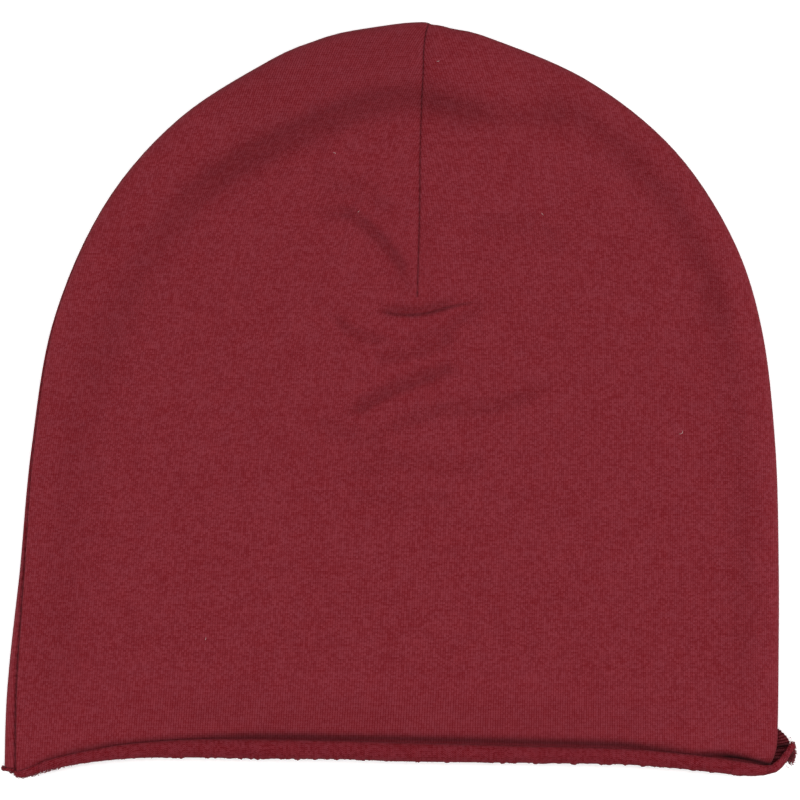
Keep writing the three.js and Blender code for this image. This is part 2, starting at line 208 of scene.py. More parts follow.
# %% The hem's roll
FRONT_HEM = [  # x, y, four radii, degrees
    (-119, -110.8, 0.5, 0.5, 0.5, 0.5, 200), (-116.5, -110.9, 0.55, 0.55, 0.5, 0.5, 200),
    (-115, -111.3, 0.7, 0.7, 0.6, 0.5, 210), (-113.4, -111.5, 1.1, 1.05, 0.9, 0.6, 250),
    (-112, -111.2, 1.25, 1.15, 1.0, 0.6, 280), (-106, -108.9, 1.8, 1.6, 1.3, 0.8, 330),
    (-100, -107.4, 2.15, 1.85, 1.5, 0.8, 350), (-94, -106.1, 2.4, 2.1, 1.65, 0.9, 365),
    (-85, -104.8, 2.65, 2.4, 2.0, 1.1, 372), (-75, -104.1, 2.75, 2.55, 2.3, 1.35, 372),
    (-60, -103.7, 3.05, 2.9, 2.7, 1.7, 372), (-42, -103.8, 3.2, 3.05, 2.85, 1.8, 372),
    (-16, -104.2, 3.05, 2.9, 2.7, 1.7, 372), (0, -104.7, 3.15, 3.0, 2.8, 1.7, 372),
    (48, -105.5, 3.0, 2.75, 2.4, 1.45, 372), (66.6, -105.9, 2.95, 2.7, 2.3, 1.4, 372),
    (80.4, -107.0, 2.85, 2.6, 2.2, 1.4, 360), (94.2, -108.4, 2.9, 2.7, 2.1, 1.4, 345),
    (102.3, -109.6, 2.5, 2.35, 2.0, 1.2, 345), (106, -110.2, 1.95, 1.8, 1.6, 1.0, 340),
    (109, -110.6, 1.5, 1.35, 1.2, 0.8, 330), (111.3, -110.6, 1.25, 1.2, 1.05, 0.7, 320),
    (114, -110.3, 1.3, 1.2, 1.0, 0.65, 320), (116, -110.3, 1.15, 1.05, 0.9, 0.55, 310),
    (118, -110.3, 1.0, 0.9, 0.75, 0.5, 300), (121, -110.3, 0.85, 0.8, 0.65, 0.45, 290),
]
BACK_HEM = [
    (-119, -110.4, 0.5, 0.5, 0.5, 0.5, 200), (-114.5, -110.4, 0.55, 0.55, 0.55, 0.5, 200),
    (-108, -109.0, 1.8, 1.6, 1.4, 1.2, 230), (-94, -106.2, 2.2, 2.0, 1.8, 1.6, 240),
    (-60, -104.0, 2.4, 2.2, 2.0, 1.8, 240), (0, -104.7, 2.4, 2.2, 2.0, 1.8, 240),
    (56, -106.1, 2.3, 2.1, 1.9, 1.7, 240), (92, -108.4, 2.3, 2.1, 1.9, 1.6, 240),
    (104, -110.0, 1.9, 1.7, 1.5, 1.2, 240), (109, -110.6, 1.3, 1.2, 1.1, 0.9, 240),
    (111.3, -110.6, 1.0, 0.9, 0.8, 0.7, 230), (114, -110.6, 1.0, 0.9, 0.8, 0.7, 230),
]
FRONT_SQUASH = [(-119, 0.9), (-90, 0.8), (90, 0.8), (110, 0.85), (113.6, 1.0), (121, 0.9)]
BACK_SQUASH = [(-119, 1.0), (-112, 0.9), (-96, 0.6), (90, 0.6), (108, 0.75), (113.6, 1.0)]


def hem_column(table, column, x):
    return read([(row[0], row[column]) for row in table], x)


def curl_path(table, squash, x, steps):
    """The cloth's middle as it turns, at each x: distances out past the hem line and up off the face."""
    x = np.atleast_1d(np.asarray(x, float))
    radii = [hem_column(table, column, x) for column in (2, 3, 4, 5)]
    end = np.radians(hem_column(table, 6, x))
    knees = [np.full_like(end, math.radians(knee)) for knee in (0, 60, 110)] + [end]
    fine = 8
    out, up = np.zeros_like(x), np.zeros_like(x)
    path = [(out, up)]
    turn = end / (steps * fine)
    for i in range(steps * fine):
        angle = turn * (i + 0.5)
        radius = radii[0]
        for low, high, a, b in zip(knees, knees[1:], radii, radii[1:]):
            radius = np.where(angle >= low, a + (b - a) * np.clip((angle - low) / (high - low), 0, 1), radius)
        out = out + radius * np.cos(angle) * turn
        up = up + radius * np.sin(angle) * turn * read(squash, x)
        if (i + 1) % fine == 0:
            path.append((out, up))
    return path


LIFT_AT = np.linspace(-119, 114, 60)
LIFT = np.max([up for _, up in curl_path(BACK_HEM, BACK_SQUASH, LIFT_AT, 24)], axis=0) + 0.35
LIFT[LIFT_AT < -104] = LIFT[LIFT_AT >= -104][0]
LIFT[LIFT_AT > 100] = LIFT[LIFT_AT <= 100][-1]


def hem_lift(x):
    return np.interp(x, LIFT_AT, LIFT)


print("the back roll lifts the mouth by", LIFT.min().round(2), "to", LIFT.max().round(2), "mm")

# %% [markdown]
# Jersey that lies on itself drapes in soft troughs and steps. Each is one row here: how deep, how wide on
# either side and the path that it follows. A simulation would find other folds than this hat's, so they
# are listed one by one, and the sums below lift or sink the whole sheet at once. A third list paints shade
# into the jersey's colour along the folds, in the crevices by the roll, along the outline's rim and in a
# few broad patches: it says how much, how widely and along which path.

# %% Folds
CROWN_FOLD = [(-74.7, 44.9), (-67.2, 55.4), (-58.2, 64.4), (-44.7, 73.4), (-29.7, 80.9), (-14.7, 86.9)]
TROUGHS = [  # depth, width left of the path, width right of it, path
    (2.2, 3.4, 4.2, [(-80.7, 33), *CROWN_FOLD, (-5, 89.6), (4.8, 90.8), (14, 88.8), (25, 85.5)]),
    (1.2, 6, 6, [(-78, 44), (-87, 18), (-94, -10), (-99, -40), (-102, -70), (-105, -92)]),
    (1.2, 4.4, 4.4, [(38, 91), (50, 85.5), (62, 78), (76, 65), (87, 50), (94, 31), (98, 10), (100, -10)]),
    (0.6, 4.4, 4.4, [(94, 31), (99, 6), (101, -15), (102, -60), (102, -90)]),
    (1.7, 2.4, 0.8, [(-8, 27.4), (-5, 26.4), (-1.4, 25.9), (2.6, 25.7), (6.2, 25.9), (9.8, 26.5),
                     (13.8, 27.7), (17.9, 28.6), (23.6, 29.4)]),
    (1.5, 1.8, 1.8, [(-26, 56.6), (-16.2, 56.3), (-10.2, 52.4), (-4.2, 46.4), (0.3, 40.4), (2.2, 33)]),
    (0.9, 2.6, 2.6, [(-26, 67), (-18, 65.5), (-7.2, 61.0), (-1, 55)]),
    (0.7, 3.4, 3.4, [(20, 47), (24, 51), (30.3, 53.3), (37, 53.4), (44, 50), (48, 42)]),
    (1.2, 1.6, 1.3, [(-20, 26), (-17.5, 23.2), (-14.5, 20.4), (-8, 18.4), (-2, 18.2)]),
    (0.9, 2.2, 2.0, [(-2, 17.2), (6, 18.6), (13, 21), (20, 25.5), (26, 29)]),
    (1.2, 2.2, 1.8, [(-9, 12.4), (0.3, 13.6), (9, 15.6), (17, 19.4)]),
    (1.7, 2.6, 1.8, [(-18, -5.4), (-11, -1.6), (-4, 2.2), (3, 5.2), (10, 7.6), (19, 10.8)]),
    (1.2, 2.6, 2.0, [(-9, -9.6), (0, -7.0), (8, -4.0), (17, -2.8), (26, -2.0), (36.3, 0.6), (46, 5)]),
    (0.6, 3, 3, [(-24, -8), (-8.7, -12.2), (-2, -13)]),
    (0.6, 3, 3, [(-17, -21.8), (0.3, -18.4), (14, -20), (27, -19.6)]),
    (0.5, 3.2, 3.2, [(-14, -28), (2, -30.5), (18, -30)]),
]
STEPS = [(0.8, 5.0, [*CROWN_FOLD, (4.8, 90.8)])]  # height, width, path
PAINTED_SHADE = [  # share of painted shade, width, path
    # painted shade in soft bands along the folds beside the seam allowances
    (0.11, 6.4, [(-92, -4), (-87, 20), (-80.7, 33), (-74.7, 44.9), (-67.2, 55.4), (-58.2, 64.4),
                 (-44.7, 73.4), (-29.7, 81.2), (-14.7, 87.4), (-4, 90.4), (4.8, 91.2), (14, 89), (25, 85.5),
                 (36, 84)]),
    (0.13, 4.4, [(-66, 57), (-58.2, 64.4), (-44.7, 73.4), (-29.7, 81.2), (-14.7, 87.4), (-4, 90.4),
                 (4.8, 91.2), (13, 89), (24, 86), (36, 84)]),
    (0.1, 4.6, [(2, 91), (10, 89.5), (20, 87), (31, 85), (42, 84.5), (54, 84)]),
    (0.07, 7, [(-88, 30), (-93, 6), (-98, -20), (-101, -50), (-103, -75), (-104, -98)]),
    (0.14, 5.0, [(34, 94), (50, 87), (62, 79.4), (76, 65.6), (86, 51), (93, 34), (97.5, 14)]),
    (0.06, 5.4, [(90, 42), (96, 20), (100, -2), (102.5, -30), (103, -60), (102.5, -98)]),
    # painted shade in the crease below the dart's tip
    (0.36, 0.55, [(-8, 27.4), (-5, 26.4), (-1.4, 25.8), (2.6, 25.5), (6.2, 25.7), (9.8, 26.4), (13.8, 27.6),
                  (17.9, 28.5), (23.6, 29.4)]),
    (0.16, 1.6, [(-7, 28.2), (-3, 27.2), (2.6, 26.8), (7, 27.2), (12, 28.2), (17, 29.4)]),
    # painted shadow in the crevice under the roll at the right corner
    (0.45, 1.5, [(88, -106.6), (94, -106.8), (99, -107.0), (104, -107.8), (108, -109.0), (112, -110.2),
                 (116, -112)]),
    (0.85, 0.75, [(95, -106.6), (99, -106.9), (103.6, -107.4), (106.6, -108.1), (108.8, -108.7),
                  (111, -109.4), (113, -110.2), (115, -111)]),
    # broad painted shade above the hem and near the crown
    (0.06, 7, [(-86, -92), (-60, -94), (-20, -95), (20, -96), (60, -98), (92, -98)]),
    (0.06, 13, [(-62, 82), (-40, 94), (-18, 102), (4, 106), (6, 100), (8, 90)]),
    (0.04, 6, [(-50, 94), (-30, 101), (-12, 106), (4, 107.5), (16, 104)]),
    # painted shade along the rim of the outline
    (0.14, 1.5, [(-104.0, 23.7), (-88.9, 58.3), (-66.7, 84.2), (-38.7, 102.3), (-24.0, 108.5),
                 (-12.0, 111.45), (-3.0, 112.8), (8.4, 113.5)]),
    (0.18, 0.9, [(1.8, 113.4), (8.4, 113.5), (16, 111.7), (26.9, 109.0), (56.6, 96.1), (82.3, 75.5),
                 (100.1, 48.7)]),
    (0.12, 0.8, [(-116, -60), (-114.1, -50), (-110.6, -14), (-104, 23.7), (-96.5, 45)]),
    # painted shadow in the crevice above the roll
    (0.38, 1.5, [(-68, -101.8), (-54, -101.0), (-42, -100.8), (-30, -100.8), (0, -101.3), (30, -102.0),
                 (60, -102.9), (78, -104.0), (92, -105.4)]),
    # painted shade in the smaller folds
    (0.08, 2.7, [(-30, 57.5), (-16.2, 56.3), (-10.2, 52.4), (-4.2, 46.4), (0.3, 40.4), (2.2, 33), (3, 28)]),
    (0.08, 1.3, [(-20, 56.6), (-14, 55.2), (-9, 51.6), (-4.2, 46.6), (-0.6, 41.6), (1.6, 35)]),
    (0.06, 3.0, [(-28, 67), (-18, 65.5), (-7.2, 61.0), (0, 54)]),
    (0.05, 3.4, [(20, 47), (24, 51), (30.3, 53.3), (37, 53.4), (44, 50), (48, 42)]),
    (0.11, 1.3, [(-21, 27), (-17.5, 23.2), (-14.5, 20.4), (-8, 18.4), (-1, 18.2)]),
    (0.07, 1.8, [(-2, 17.2), (6, 18.6), (13, 21), (20, 25.5), (28, 31)]),
    (0.1, 1.8, [(-9, 12.4), (0.3, 13.6), (9, 15.6), (18, 20)]),
    (0.17, 2.0, [(-18, -5.4), (-11, -1.6), (-4, 2.2), (3, 5.2), (10, 7.6), (20, 11)]),
    (0.1, 2.2, [(-11, -10.4), (0, -7.0), (8, -4.0), (17, -2.8), (26, -2.0), (36.3, 0.6), (48, 6)]),
    (0.06, 3, [(-27, -6), (-8.7, -12.2), (-2, -13)]),
    (0.06, 3, [(-19, -22), (0.3, -18.4), (14, -20), (30, -19.6)]),
    (0.05, 3, [(-16, -28), (2, -30.5), (20, -30)]),
]


def nearest_on(path, x, y):
    """Distance to a path, the side it is on (+1 left) and how far along the path the nearest place is."""
    best = np.full(x.shape, np.inf)
    side, at = np.zeros(x.shape), np.zeros(x.shape)
    pieces = len(path) - 1
    for i, ((ax, ay), (bx, by)) in enumerate(zip(path, path[1:])):
        along = ((x - ax) * (bx - ax) + (y - ay) * (by - ay)) / ((bx - ax) ** 2 + (by - ay) ** 2)
        t = np.clip(along, 0, 1)
        dx, dy = x - ax - (bx - ax) * t, y - ay - (by - ay) * t
        distance = np.hypot(dx, dy)
        closer = distance < best
        best = np.where(closer, distance, best)
        side = np.where(closer, np.sign((bx - ax) * dy - (by - ay) * dx), side)
        at = np.where(closer, (i + t) / pieces, at)
    return best, side, at


def rounded(path):
    return [tuple(p) for p in spline(path, 6 * len(path))]


def folds(x, y):
    height = np.zeros(x.shape)
    for depth, wide_left, wide_right, path in TROUGHS:
        distance, side, at = nearest_on(rounded(path), x, y)
        strength = depth * smooth(at, 0, 0.25) * (1 - smooth(at, 0.7, 1))
        width = np.where(side > 0, wide_left, wide_right)
        height -= strength * np.exp(-((distance / width) ** 2))
    for depth, width, path in STEPS:
        distance, side, at = nearest_on(rounded(path), x, y)
        strength = depth * smooth(at, 0, 0.22) * (1 - smooth(at, 0.78, 1))
        reach = distance / width
        height += strength / 2 * side * np.tanh(reach) * (1 - smooth(reach, 1, 3))
    return height


def painted_shade(x, y):
    """How much shade is painted into the colour at a place, 0 to 1: along folds, crevices and the rim."""
    left = np.ones(x.shape)
    for share, width, path in PAINTED_SHADE:
        distance, _, at = nearest_on(rounded(path), x, y)
        fade = smooth(at, 0, 0.18) * (1 - smooth(at, 0.84, 1))
        left *= 1 - share * fade * np.exp(-((distance / width) ** 2))
    return 1 - left


print("folds:", len(TROUGHS), "troughs and", len(STEPS), "steps,", len(PAINTED_SHADE), "pressed lines")

# %% [markdown]
# The crown is drawn in by a dart, whose stitched line wanders a little. It sinks the cloth in a narrow
# groove. The heights of both panels' outer faces follow from the loft, the rolls, the folds and the dart,
# so that every later piece can ask how high the cloth lies at a place.

# %% Faces
DART_BEND = [
    (31, 0), (55, -0.3), (76, -0.9), (90, -1.0), (97, -0.9), (105, -1.0), (110, -0.6), (112, -0.2),
    (114, 0),
]
GROOVE = 1.0


def dart_line(y):
    return TIP[0] + (crown[0] - TIP[0]) * (y - TIP[1]) / (crown[1] - TIP[1])


def dart_bend(x, y):
    """How far the cloth beside the dart is carried sideways by the bend of its line."""
    return read(DART_BEND, y) * np.exp(-(((x - dart_line(y)) / 12) ** 2))


def dart_groove(x, y):
    away = np.abs(x - dart_line(y))
    started = smooth(y, TIP[1] - 1.0, TIP[1] + 6)
    narrow = GROOVE * np.exp(-((away / 0.42) ** 1.3))
    return started * (narrow + 0.35 * smooth(y, TIP[1], TIP[1] + 25) * np.exp(-((away / 2.6) ** 2)))


def near_hem(x, y):
    return 1 - smooth(y - hem_column(FRONT_HEM, 1, x), 0, HEM_RISE)


CREVICE = [  # x, where the roll lies on the panel, depth
    (-119, -111.6, 0.2), (-112, -110.8, 0.8), (-106, -108.4, 1.5), (-100, -106.8, 1.7), (-94, -105.4, 1.8),
    (-85, -103.8, 1.9), (-60, -101.9, 2.0), (-42, -101.5, 2.0), (-16, -102.0, 2.0), (0, -102.3, 2.0),
    (48, -103.6, 2.0), (66, -104.1, 2.1), (78, -105.5, 2.3), (87, -106.6, 2.6), (94, -107.0, 3.0),
    (100, -107.4, 3.4), (105, -108.3, 3.6), (110, -109.4, 3.0), (112, -110.0, 1.4), (114, -110.4, 0.4),
]


def crevice(x, y):
    """The dip in which the roll lies against the panel."""
    edge = hem_column(CREVICE, 1, x)
    return hem_column(CREVICE, 2, x) * np.where(
        y < edge, np.exp(-(((y - edge) / 2.2) ** 2)), np.exp(-(((y - edge) / 1.5) ** 2)))


WELL_INSIDE = 40.0  # an inset past the shoulder


def front_face(x, y, inset):
    hem = near_hem(x, y)
    level = LOFT + (hem_lift(x) + 2 * WALL + MOUTH - LOFT) * hem
    away = smooth(inset, SHOULDER * 0.4, SHOULDER * 1.3)
    return level + folds(x, y) * away * (1 - hem) - dart_groove(x, y) - crevice(x, y) * away


def back_face(x, y):
    return hem_lift(x) * near_hem(x, y) + dart_groove(x, y)


faces = front_face(*np.meshgrid(np.linspace(-90, 90, 181), np.linspace(-100, 90, 191)), WELL_INSIDE)
print("front face from", faces.min().round(2), "to", faces.max().round(2), "mm")

# %% [markdown]
# A panel is one grid, folded like a fan. Its lines start at the outline: below the dart's tip they are
# rows that meet on the middle line, and above it they are rays that meet at the tip. Lines crowd at the
# hem, at the tip and along the dart, where the cloth bends most.

# %% Lines across a panel
def spaced(marks):
    """Places from spans given as (up to, how many)."""
    places, start = [0.0], 0.0
    for end, count in marks:
        places += list(np.linspace(start, end, count + 1)[1:])
        start = end
    return np.array(places)


def lines_across(rows, turns):
    """Edge point, inward direction, reach and share of each line, from left corner to right corner."""
    left, right = outline[: top + 1], outline[top:]
    edges, inwards, reaches, shares, sides = [], [], [], [], []

    def add(edge, inward, reach, share, side):
        edges.append(edge)
        inwards.append(inward)
        reaches.append(reach)
        shares.append(share)
        sides.append(side)

    def row(share, side):
        part = left if side < 0 else right[::-1]
        y = part[0, 1] + (TIP[1] - part[0, 1]) * share
        x = np.interp(y, part[:, 1], part[:, 0])
        add((x, y), (-side, 0.0), abs(x - TIP[0]), share, side)

    def ray(turn, side):
        part = left if side < 0 else right[::-1]
        part = part[part[:, 1] >= TIP[1] - 0.5]
        angles = np.arctan2(part[:, 1] - TIP[1], (part[:, 0] - TIP[0]) * side)
        edge = np.array([np.interp(turn, angles, part[:, i]) for i in (0, 1)])
        inward = (TIP - edge) / np.linalg.norm(TIP - edge)
        add(edge, inward, np.linalg.norm(TIP - edge), np.nan, side)

    lean = math.atan2(crown[1] - TIP[1], crown[0] - TIP[0])
    for share in rows:
        row(share, -1)
    for turn in turns[1:]:
        ray((math.pi - lean) * turn, -1)
    for turn in turns[-2:0:-1]:
        ray(lean * turn, 1)
    for share in rows[::-1]:
        row(share, 1)
    return (np.array(edges), np.array(inwards), np.array(reaches), np.array(shares), np.array(sides))


front_rows = spaced([(0.02, 8), (0.07, 14), (0.60, 40), (0.93, 40), (1.0, 16)])
front_turns = np.concatenate([np.linspace(0, 0.9, 50), 1 - np.array(
    [8, 6.6, 5.4, 4.3, 3.4, 2.6, 2.0, 1.5, 1.1, 0.8, 0.55, 0.35, 0.17, 0]) / 90])
back_rows = spaced([(0.07, 10), (0.75, 34), (1.0, 18)])
back_turns = np.concatenate([np.linspace(0, 0.9, 28), 1 - np.array([7, 5, 3.4, 2.2, 1.4, 0.8, 0.4, 0]) / 90])
front_lines = lines_across(front_rows, front_turns)
back_lines = lines_across(back_rows, back_turns)
print("lines: front", len(front_lines[0]), "back", len(back_lines[0]))

# %% [markdown]
# Across each line the cloth starts at the seam, where it turns in between the panels, goes over the
# rounded shoulder and then lies flat. The same two formulas shape both panels, one up and one down.

# %% From a line's inset to a place on the cloth
def wall_point(front, lines, inset, sine):
    edge, inward, _, share, _ = lines
    x = edge[:, :1] + inward[:, :1] * inset
    y_ray = edge[:, 1:] + inward[:, 1:] * inset
    hem = hem_column(FRONT_HEM if front else BACK_HEM, 1, x)
    y_row = hem + (TIP[1] - hem) * np.nan_to_num(share)[:, None]
    y = np.where(np.isnan(share)[:, None], y_ray, y_row)
    top = front_face(x, y, inset) - WALL / 2
    bottom = back_face(x, y) + WALL / 2
    middle = (top + bottom) / 2
    z = middle + ((top if front else bottom) - middle) * sine
    return np.stack([x + dart_bend(x, y) * (y > TIP[1]), y, z], axis=-1)


def shoulder_point(front, lines, turn):
    """A point of the rounded edge by its angle, the way along the section there and the way out."""
    def at(angle):
        rise = np.sign(angle) * np.abs(np.sin(angle)) ** 0.8
        return wall_point(front, lines, SHOULDER + (WALL / 2 - SHOULDER) * np.cos(angle), rise)
    step = 1e-3
    along = at(turn + step) - at(turn - step)
    along /= np.linalg.norm(along, axis=-1, keepdims=True)
    inward = lines[1][:, None, :]
    run = (along[..., :2] * inward).sum(axis=-1)
    out = np.stack([-along[..., 2] * inward[..., 0], -along[..., 2] * inward[..., 1], run], axis=-1)
    out *= 1 if front else -1
    return at(turn), along, out / np.linalg.norm(out, axis=-1, keepdims=True)


def seam_turn(front, lines):
    y = lines[0][:, 1]
    turn = np.radians(np.where(lines[4] < 0, read(SEAM_LEFT, y), read(SEAM_RIGHT, y)))
    return (turn if front else -turn)[:, None]


SEAM_GAP = 0.04
ALLOWANCE = [7.2, 5.2, 3.6, 2.4]  # the allowance's depths inside, from its cut edge
LIP = [1.4, 0.75, 0.3]  # depths of the turned-in lip below the cloth's middle
LIP_ROUND = 0.22


def panel_points(front, lines, shoulder_count, flat_count):
    """Places (lines x columns x 3) of a panel's cloth, the way out at each and the length from the seam."""
    turn = seam_turn(front, lines)
    here, along, out = shoulder_point(front, lines, turn)
    base = (SEAM_GAP + WALL) / 2
    lip = [here + along * base - out * depth for depth in (*ALLOWANCE, *LIP)]
    points, outs = lip[:], [out] * len(lip)
    past = (base + LIP_ROUND) / (LOFT / 2)
    for part in np.linspace(0, 1, shoulder_count + 1) ** 1.35:
        p, _, o = shoulder_point(front, lines, turn + past + (np.pi / 2 - turn - past) * part)
        points.append(p)
        outs.append(o)
    up = np.zeros_like(outs[0])
    up[..., 2] = 1 if front else -1
    for part in (np.arange(flat_count) + 1) / flat_count:
        part = part * (1.35 - 0.35 * part)
        inset = SHOULDER + (lines[2][:, None] - SHOULDER) * part
        points.append(wall_point(front, lines, inset, 1.0))
        outs.append(up)
    return np.concatenate(points, axis=1), np.concatenate(outs, axis=1)


front_points, front_outs = panel_points(True, front_lines, 14, 98)
back_points, back_outs = panel_points(False, back_lines, 10, 34)
print("front grid", front_points.shape, "back grid", back_points.shape)

# %% [markdown]
# Knitted cloth carries its own grid: wales run up from the hem and courses across. The map below counts
# them, so that every pattern follows the cloth. The wales lean in towards the crown and meet the dart at
# an angle, because a wedge of cloth was taken out there. One sum of powers for each side says how: about
# 146 wales to 100 mm, upright at the hem, 10 degrees over at the dart's tip and 25 beside the crown.

# %% Counting wales and courses
COURSE, WALE = 0.55, 0.7
WALES_LEFT = [  # wales, power of x and power of y, in units of 100 mm
    (146, 1, 0), (-16, 0, 1), (-17, 0, 2), (-7, 0, 3), (2, 0, 4), (6, 1, 1), (-9, 1, 2), (-8, 1, 3),
    (-2, 2, 1),
]
WALES_RIGHT = [
    (145, 1, 0), (-1, 0, 1), (11, 0, 2), (7, 0, 3), (1, 0, 4), (2, 1, 1), (-5, 1, 2), (-1, 1, 3), (2, 2, 0),
    (2, 2, 1), (1, 2, 2),
]


def knit_place(x, y, side):
    """Wale and course numbers of a place of the flat cloth."""
    left, right = [sum(k * (x / 100) ** i * (y / 100) ** j for k, i, j in part)
                   for part in (WALES_LEFT, WALES_RIGHT)]
    wide = 30 - 24 * smooth(y, 0, 31)
    share = smooth(x - dart_line(np.maximum(y, TIP[1])), -wide, wide)
    apart = smooth(y, TIP[1], 60)
    share = np.where(side < 0, share * (1 - apart), 1 - (1 - share) * (1 - apart))
    return (left + 2.5) * (1 - share) + right * share, y / COURSE


def knit_map(lines, points):
    """Wale and course numbers over a panel's grid, with the shoulder unrolled flat."""
    edge, inward, reach, share, side = lines
    lengths = np.linalg.norm(np.diff(points, axis=1), axis=-1)
    from_seam = np.concatenate([np.zeros((len(points), 1)), np.cumsum(lengths, axis=1)], axis=1)
    from_seam -= from_seam[:, len(ALLOWANCE)][:, None]
    inset = reach[:, None] - (from_seam[:, -1:] - from_seam)
    x = edge[:, :1] + inward[:, :1] * inset
    y = np.where(np.isnan(share)[:, None], edge[:, 1:] + inward[:, 1:] * inset, points[..., 1])
    wale, course = knit_place(x, y, side[:, None])
    return np.stack([wale, course], axis=-1), from_seam


front_knit, front_from_seam = knit_map(front_lines, front_points)
back_knit, back_from_seam = knit_map(back_lines, back_points)
print("wales across the mouth:", int(np.ptp(front_knit[0, :, 0]) + np.ptp(front_knit[-1, :, 0])))

# %% [markdown]
# A grid operator makes each sheet, its vertices are moved to their places, doubles on the middle line and
# at the tip are merged, and Solidify gives the wall. Four maps go on as UV maps: knit counts the wales and
# courses, edge and dart give the length along a seam and the distance from it, and the fourth holds how
# much shade is painted into the colour and how tight the cloth is drawn.

# %% Sheets from grids
def sheet_from(name, places, maps, *materials):
    """A sheet of cloth from grid places in mm (rows x columns x 3) and its UV maps."""
    rows, columns = places.shape[:2]
    bm = bmesh.new()
    for key in maps:
        bm.verts.layers.float_vector.new(key)
    layers = {key: bm.verts.layers.float_vector[key] for key in maps}
    bmesh.ops.create_grid(bm, x_segments=columns - 1, y_segments=rows - 1, size=1)
    order = sorted(bm.verts, key=lambda v: (round(v.co.y, 6), round(v.co.x, 6)))
    flat = places.reshape(-1, 3) * MM
    for i, vert in enumerate(order):
        vert.co = flat[i]
        for key, layer in layers.items():
            vert[layer] = (*maps[key].reshape(-1, 2)[i], 0)
    bmesh.ops.remove_doubles(bm, verts=bm.verts, dist=2e-6)
    made = object_from(bm, name, *materials)
    mesh = made.data
    corners = np.empty(len(mesh.loops), np.int32)
    mesh.loops.foreach_get("vertex_index", corners)
    for key in maps:
        values = np.empty(len(mesh.vertices) * 3, np.float32)
        mesh.attributes[key].data.foreach_get("vector", values)
        values = values.reshape(-1, 3)[corners, :2]
        mesh.attributes.remove(mesh.attributes[key])
        uv = mesh.uv_layers.new(name=key)
        uv.uv.foreach_set("vector", values.ravel())
    return made


def plain_maps(knit, shade_and_tightness=(0.0, 0.0)):
    """Maps for a sheet that no seam pulls at: it lies far from all stitching."""
    far = np.full(knit.shape, 60.0)
    return {"knit": knit, "edge": far, "dart": far, "shade_and_tightness": np.broadcast_to(shade_and_tightness, knit.shape)}


def face_outward(made, probe, direction):
    """Turns all of a sheet's faces so that the one nearest a probe point faces a given way."""
    mesh = made.data
    centres = np.empty(len(mesh.polygons) * 3, np.float32)
    mesh.polygons.foreach_get("center", centres)
    near = np.linalg.norm(centres.reshape(-1, 3) - np.array(probe) * MM, axis=1).argmin()
    if np.dot(mesh.polygons[int(near)].normal, direction) < 0:
        mesh.flip_normals()


def thicken(made, thickness):
    """Solidify, with the sheet in the middle of the wall: outer face, inner face and cut edge."""
    wall = made.modifiers.new("wall", "SOLIDIFY")
    wall.thickness = thickness * MM
    wall.offset = 0
    wall.use_even_offset = False
    wall.material_offset, wall.material_offset_rim = 1, 2
    return wall


# %% [markdown]
# The knit is too fine to model stitch by stitch, about 240,000 of them, so it is drawn by shaders on the
# knit map. A small helper adds a node, joins its inputs and hands back its output.

# %% A helper for node trees
def add(tree, kind, inputs=(), out=0, **settings):
    node = tree.nodes.new("ShaderNode" + kind)
    for name, value in settings.items():
        setattr(node, name, value)
    pairs = inputs.items() if isinstance(inputs, dict) else enumerate(inputs)
    for socket, value in pairs:
        if isinstance(value, bpy.types.NodeSocket):
            tree.links.new(value, node.inputs[socket])
        elif value is not None:
            node.inputs[socket].default_value = value
    return node.outputs[out]


def calc(tree, operation, *values):
    return add(tree, "Math", values, operation=operation)


def blend(tree, factor, first, second, kind="MIX"):
    """Mixes or multiplies two colours, each given as a socket or as red, green and blue."""
    first, second = [(*c, 1) if isinstance(c, tuple) else c for c in (first, second)]
    return add(tree, "Mix", {"Factor": factor, 6: first, 7: second}, out=2, data_type="RGBA", blend_type=kind)


def darkened(tree, colour, share):
    """A colour times a share from 0 to 1."""
    return blend(tree, 1.0, colour, add(tree, "CombineColor", (share,) * 3), "MULTIPLY")


def group(name, inputs, outputs):
    """A shader node group with named sockets: its tree, the inputs it is given and the outputs to fill."""
    tree = bpy.data.node_groups.new(name, "ShaderNodeTree")
    for side, sockets in (("INPUT", inputs), ("OUTPUT", outputs)):
        for label, kind in sockets:
            tree.interface.new_socket(label, in_out=side, socket_type=kind)
    given = tree.nodes.new("NodeGroupInput").outputs
    result = tree.nodes.new("NodeGroupOutput").inputs
    return tree, given, result


def use(tree, node_group, inputs):
    node = tree.nodes.new("ShaderNodeGroup")
    node.node_tree = node_group
    for label, value in inputs.items():
        if isinstance(value, bpy.types.NodeSocket):
            tree.links.new(value, node.inputs[label])
        else:
            node.inputs[label].default_value = value
    return node.outputs


FLOAT, VECTOR = "NodeSocketFloat", "NodeSocketVector"
print("helpers ready")

# %% [markdown]
# On the face of plain knitting each stitch is a V: two legs that rise outward from the middle of the
# wale, with a deep gap between wales and a shallow one between the legs. On the reverse the loops' heads
# lie across in wavy ridges. Both groups take the knit map and put out a height and a shade.

# %% Knit groups
RELIEF_OUT = [("Height", FLOAT), ("Shade", FLOAT)]


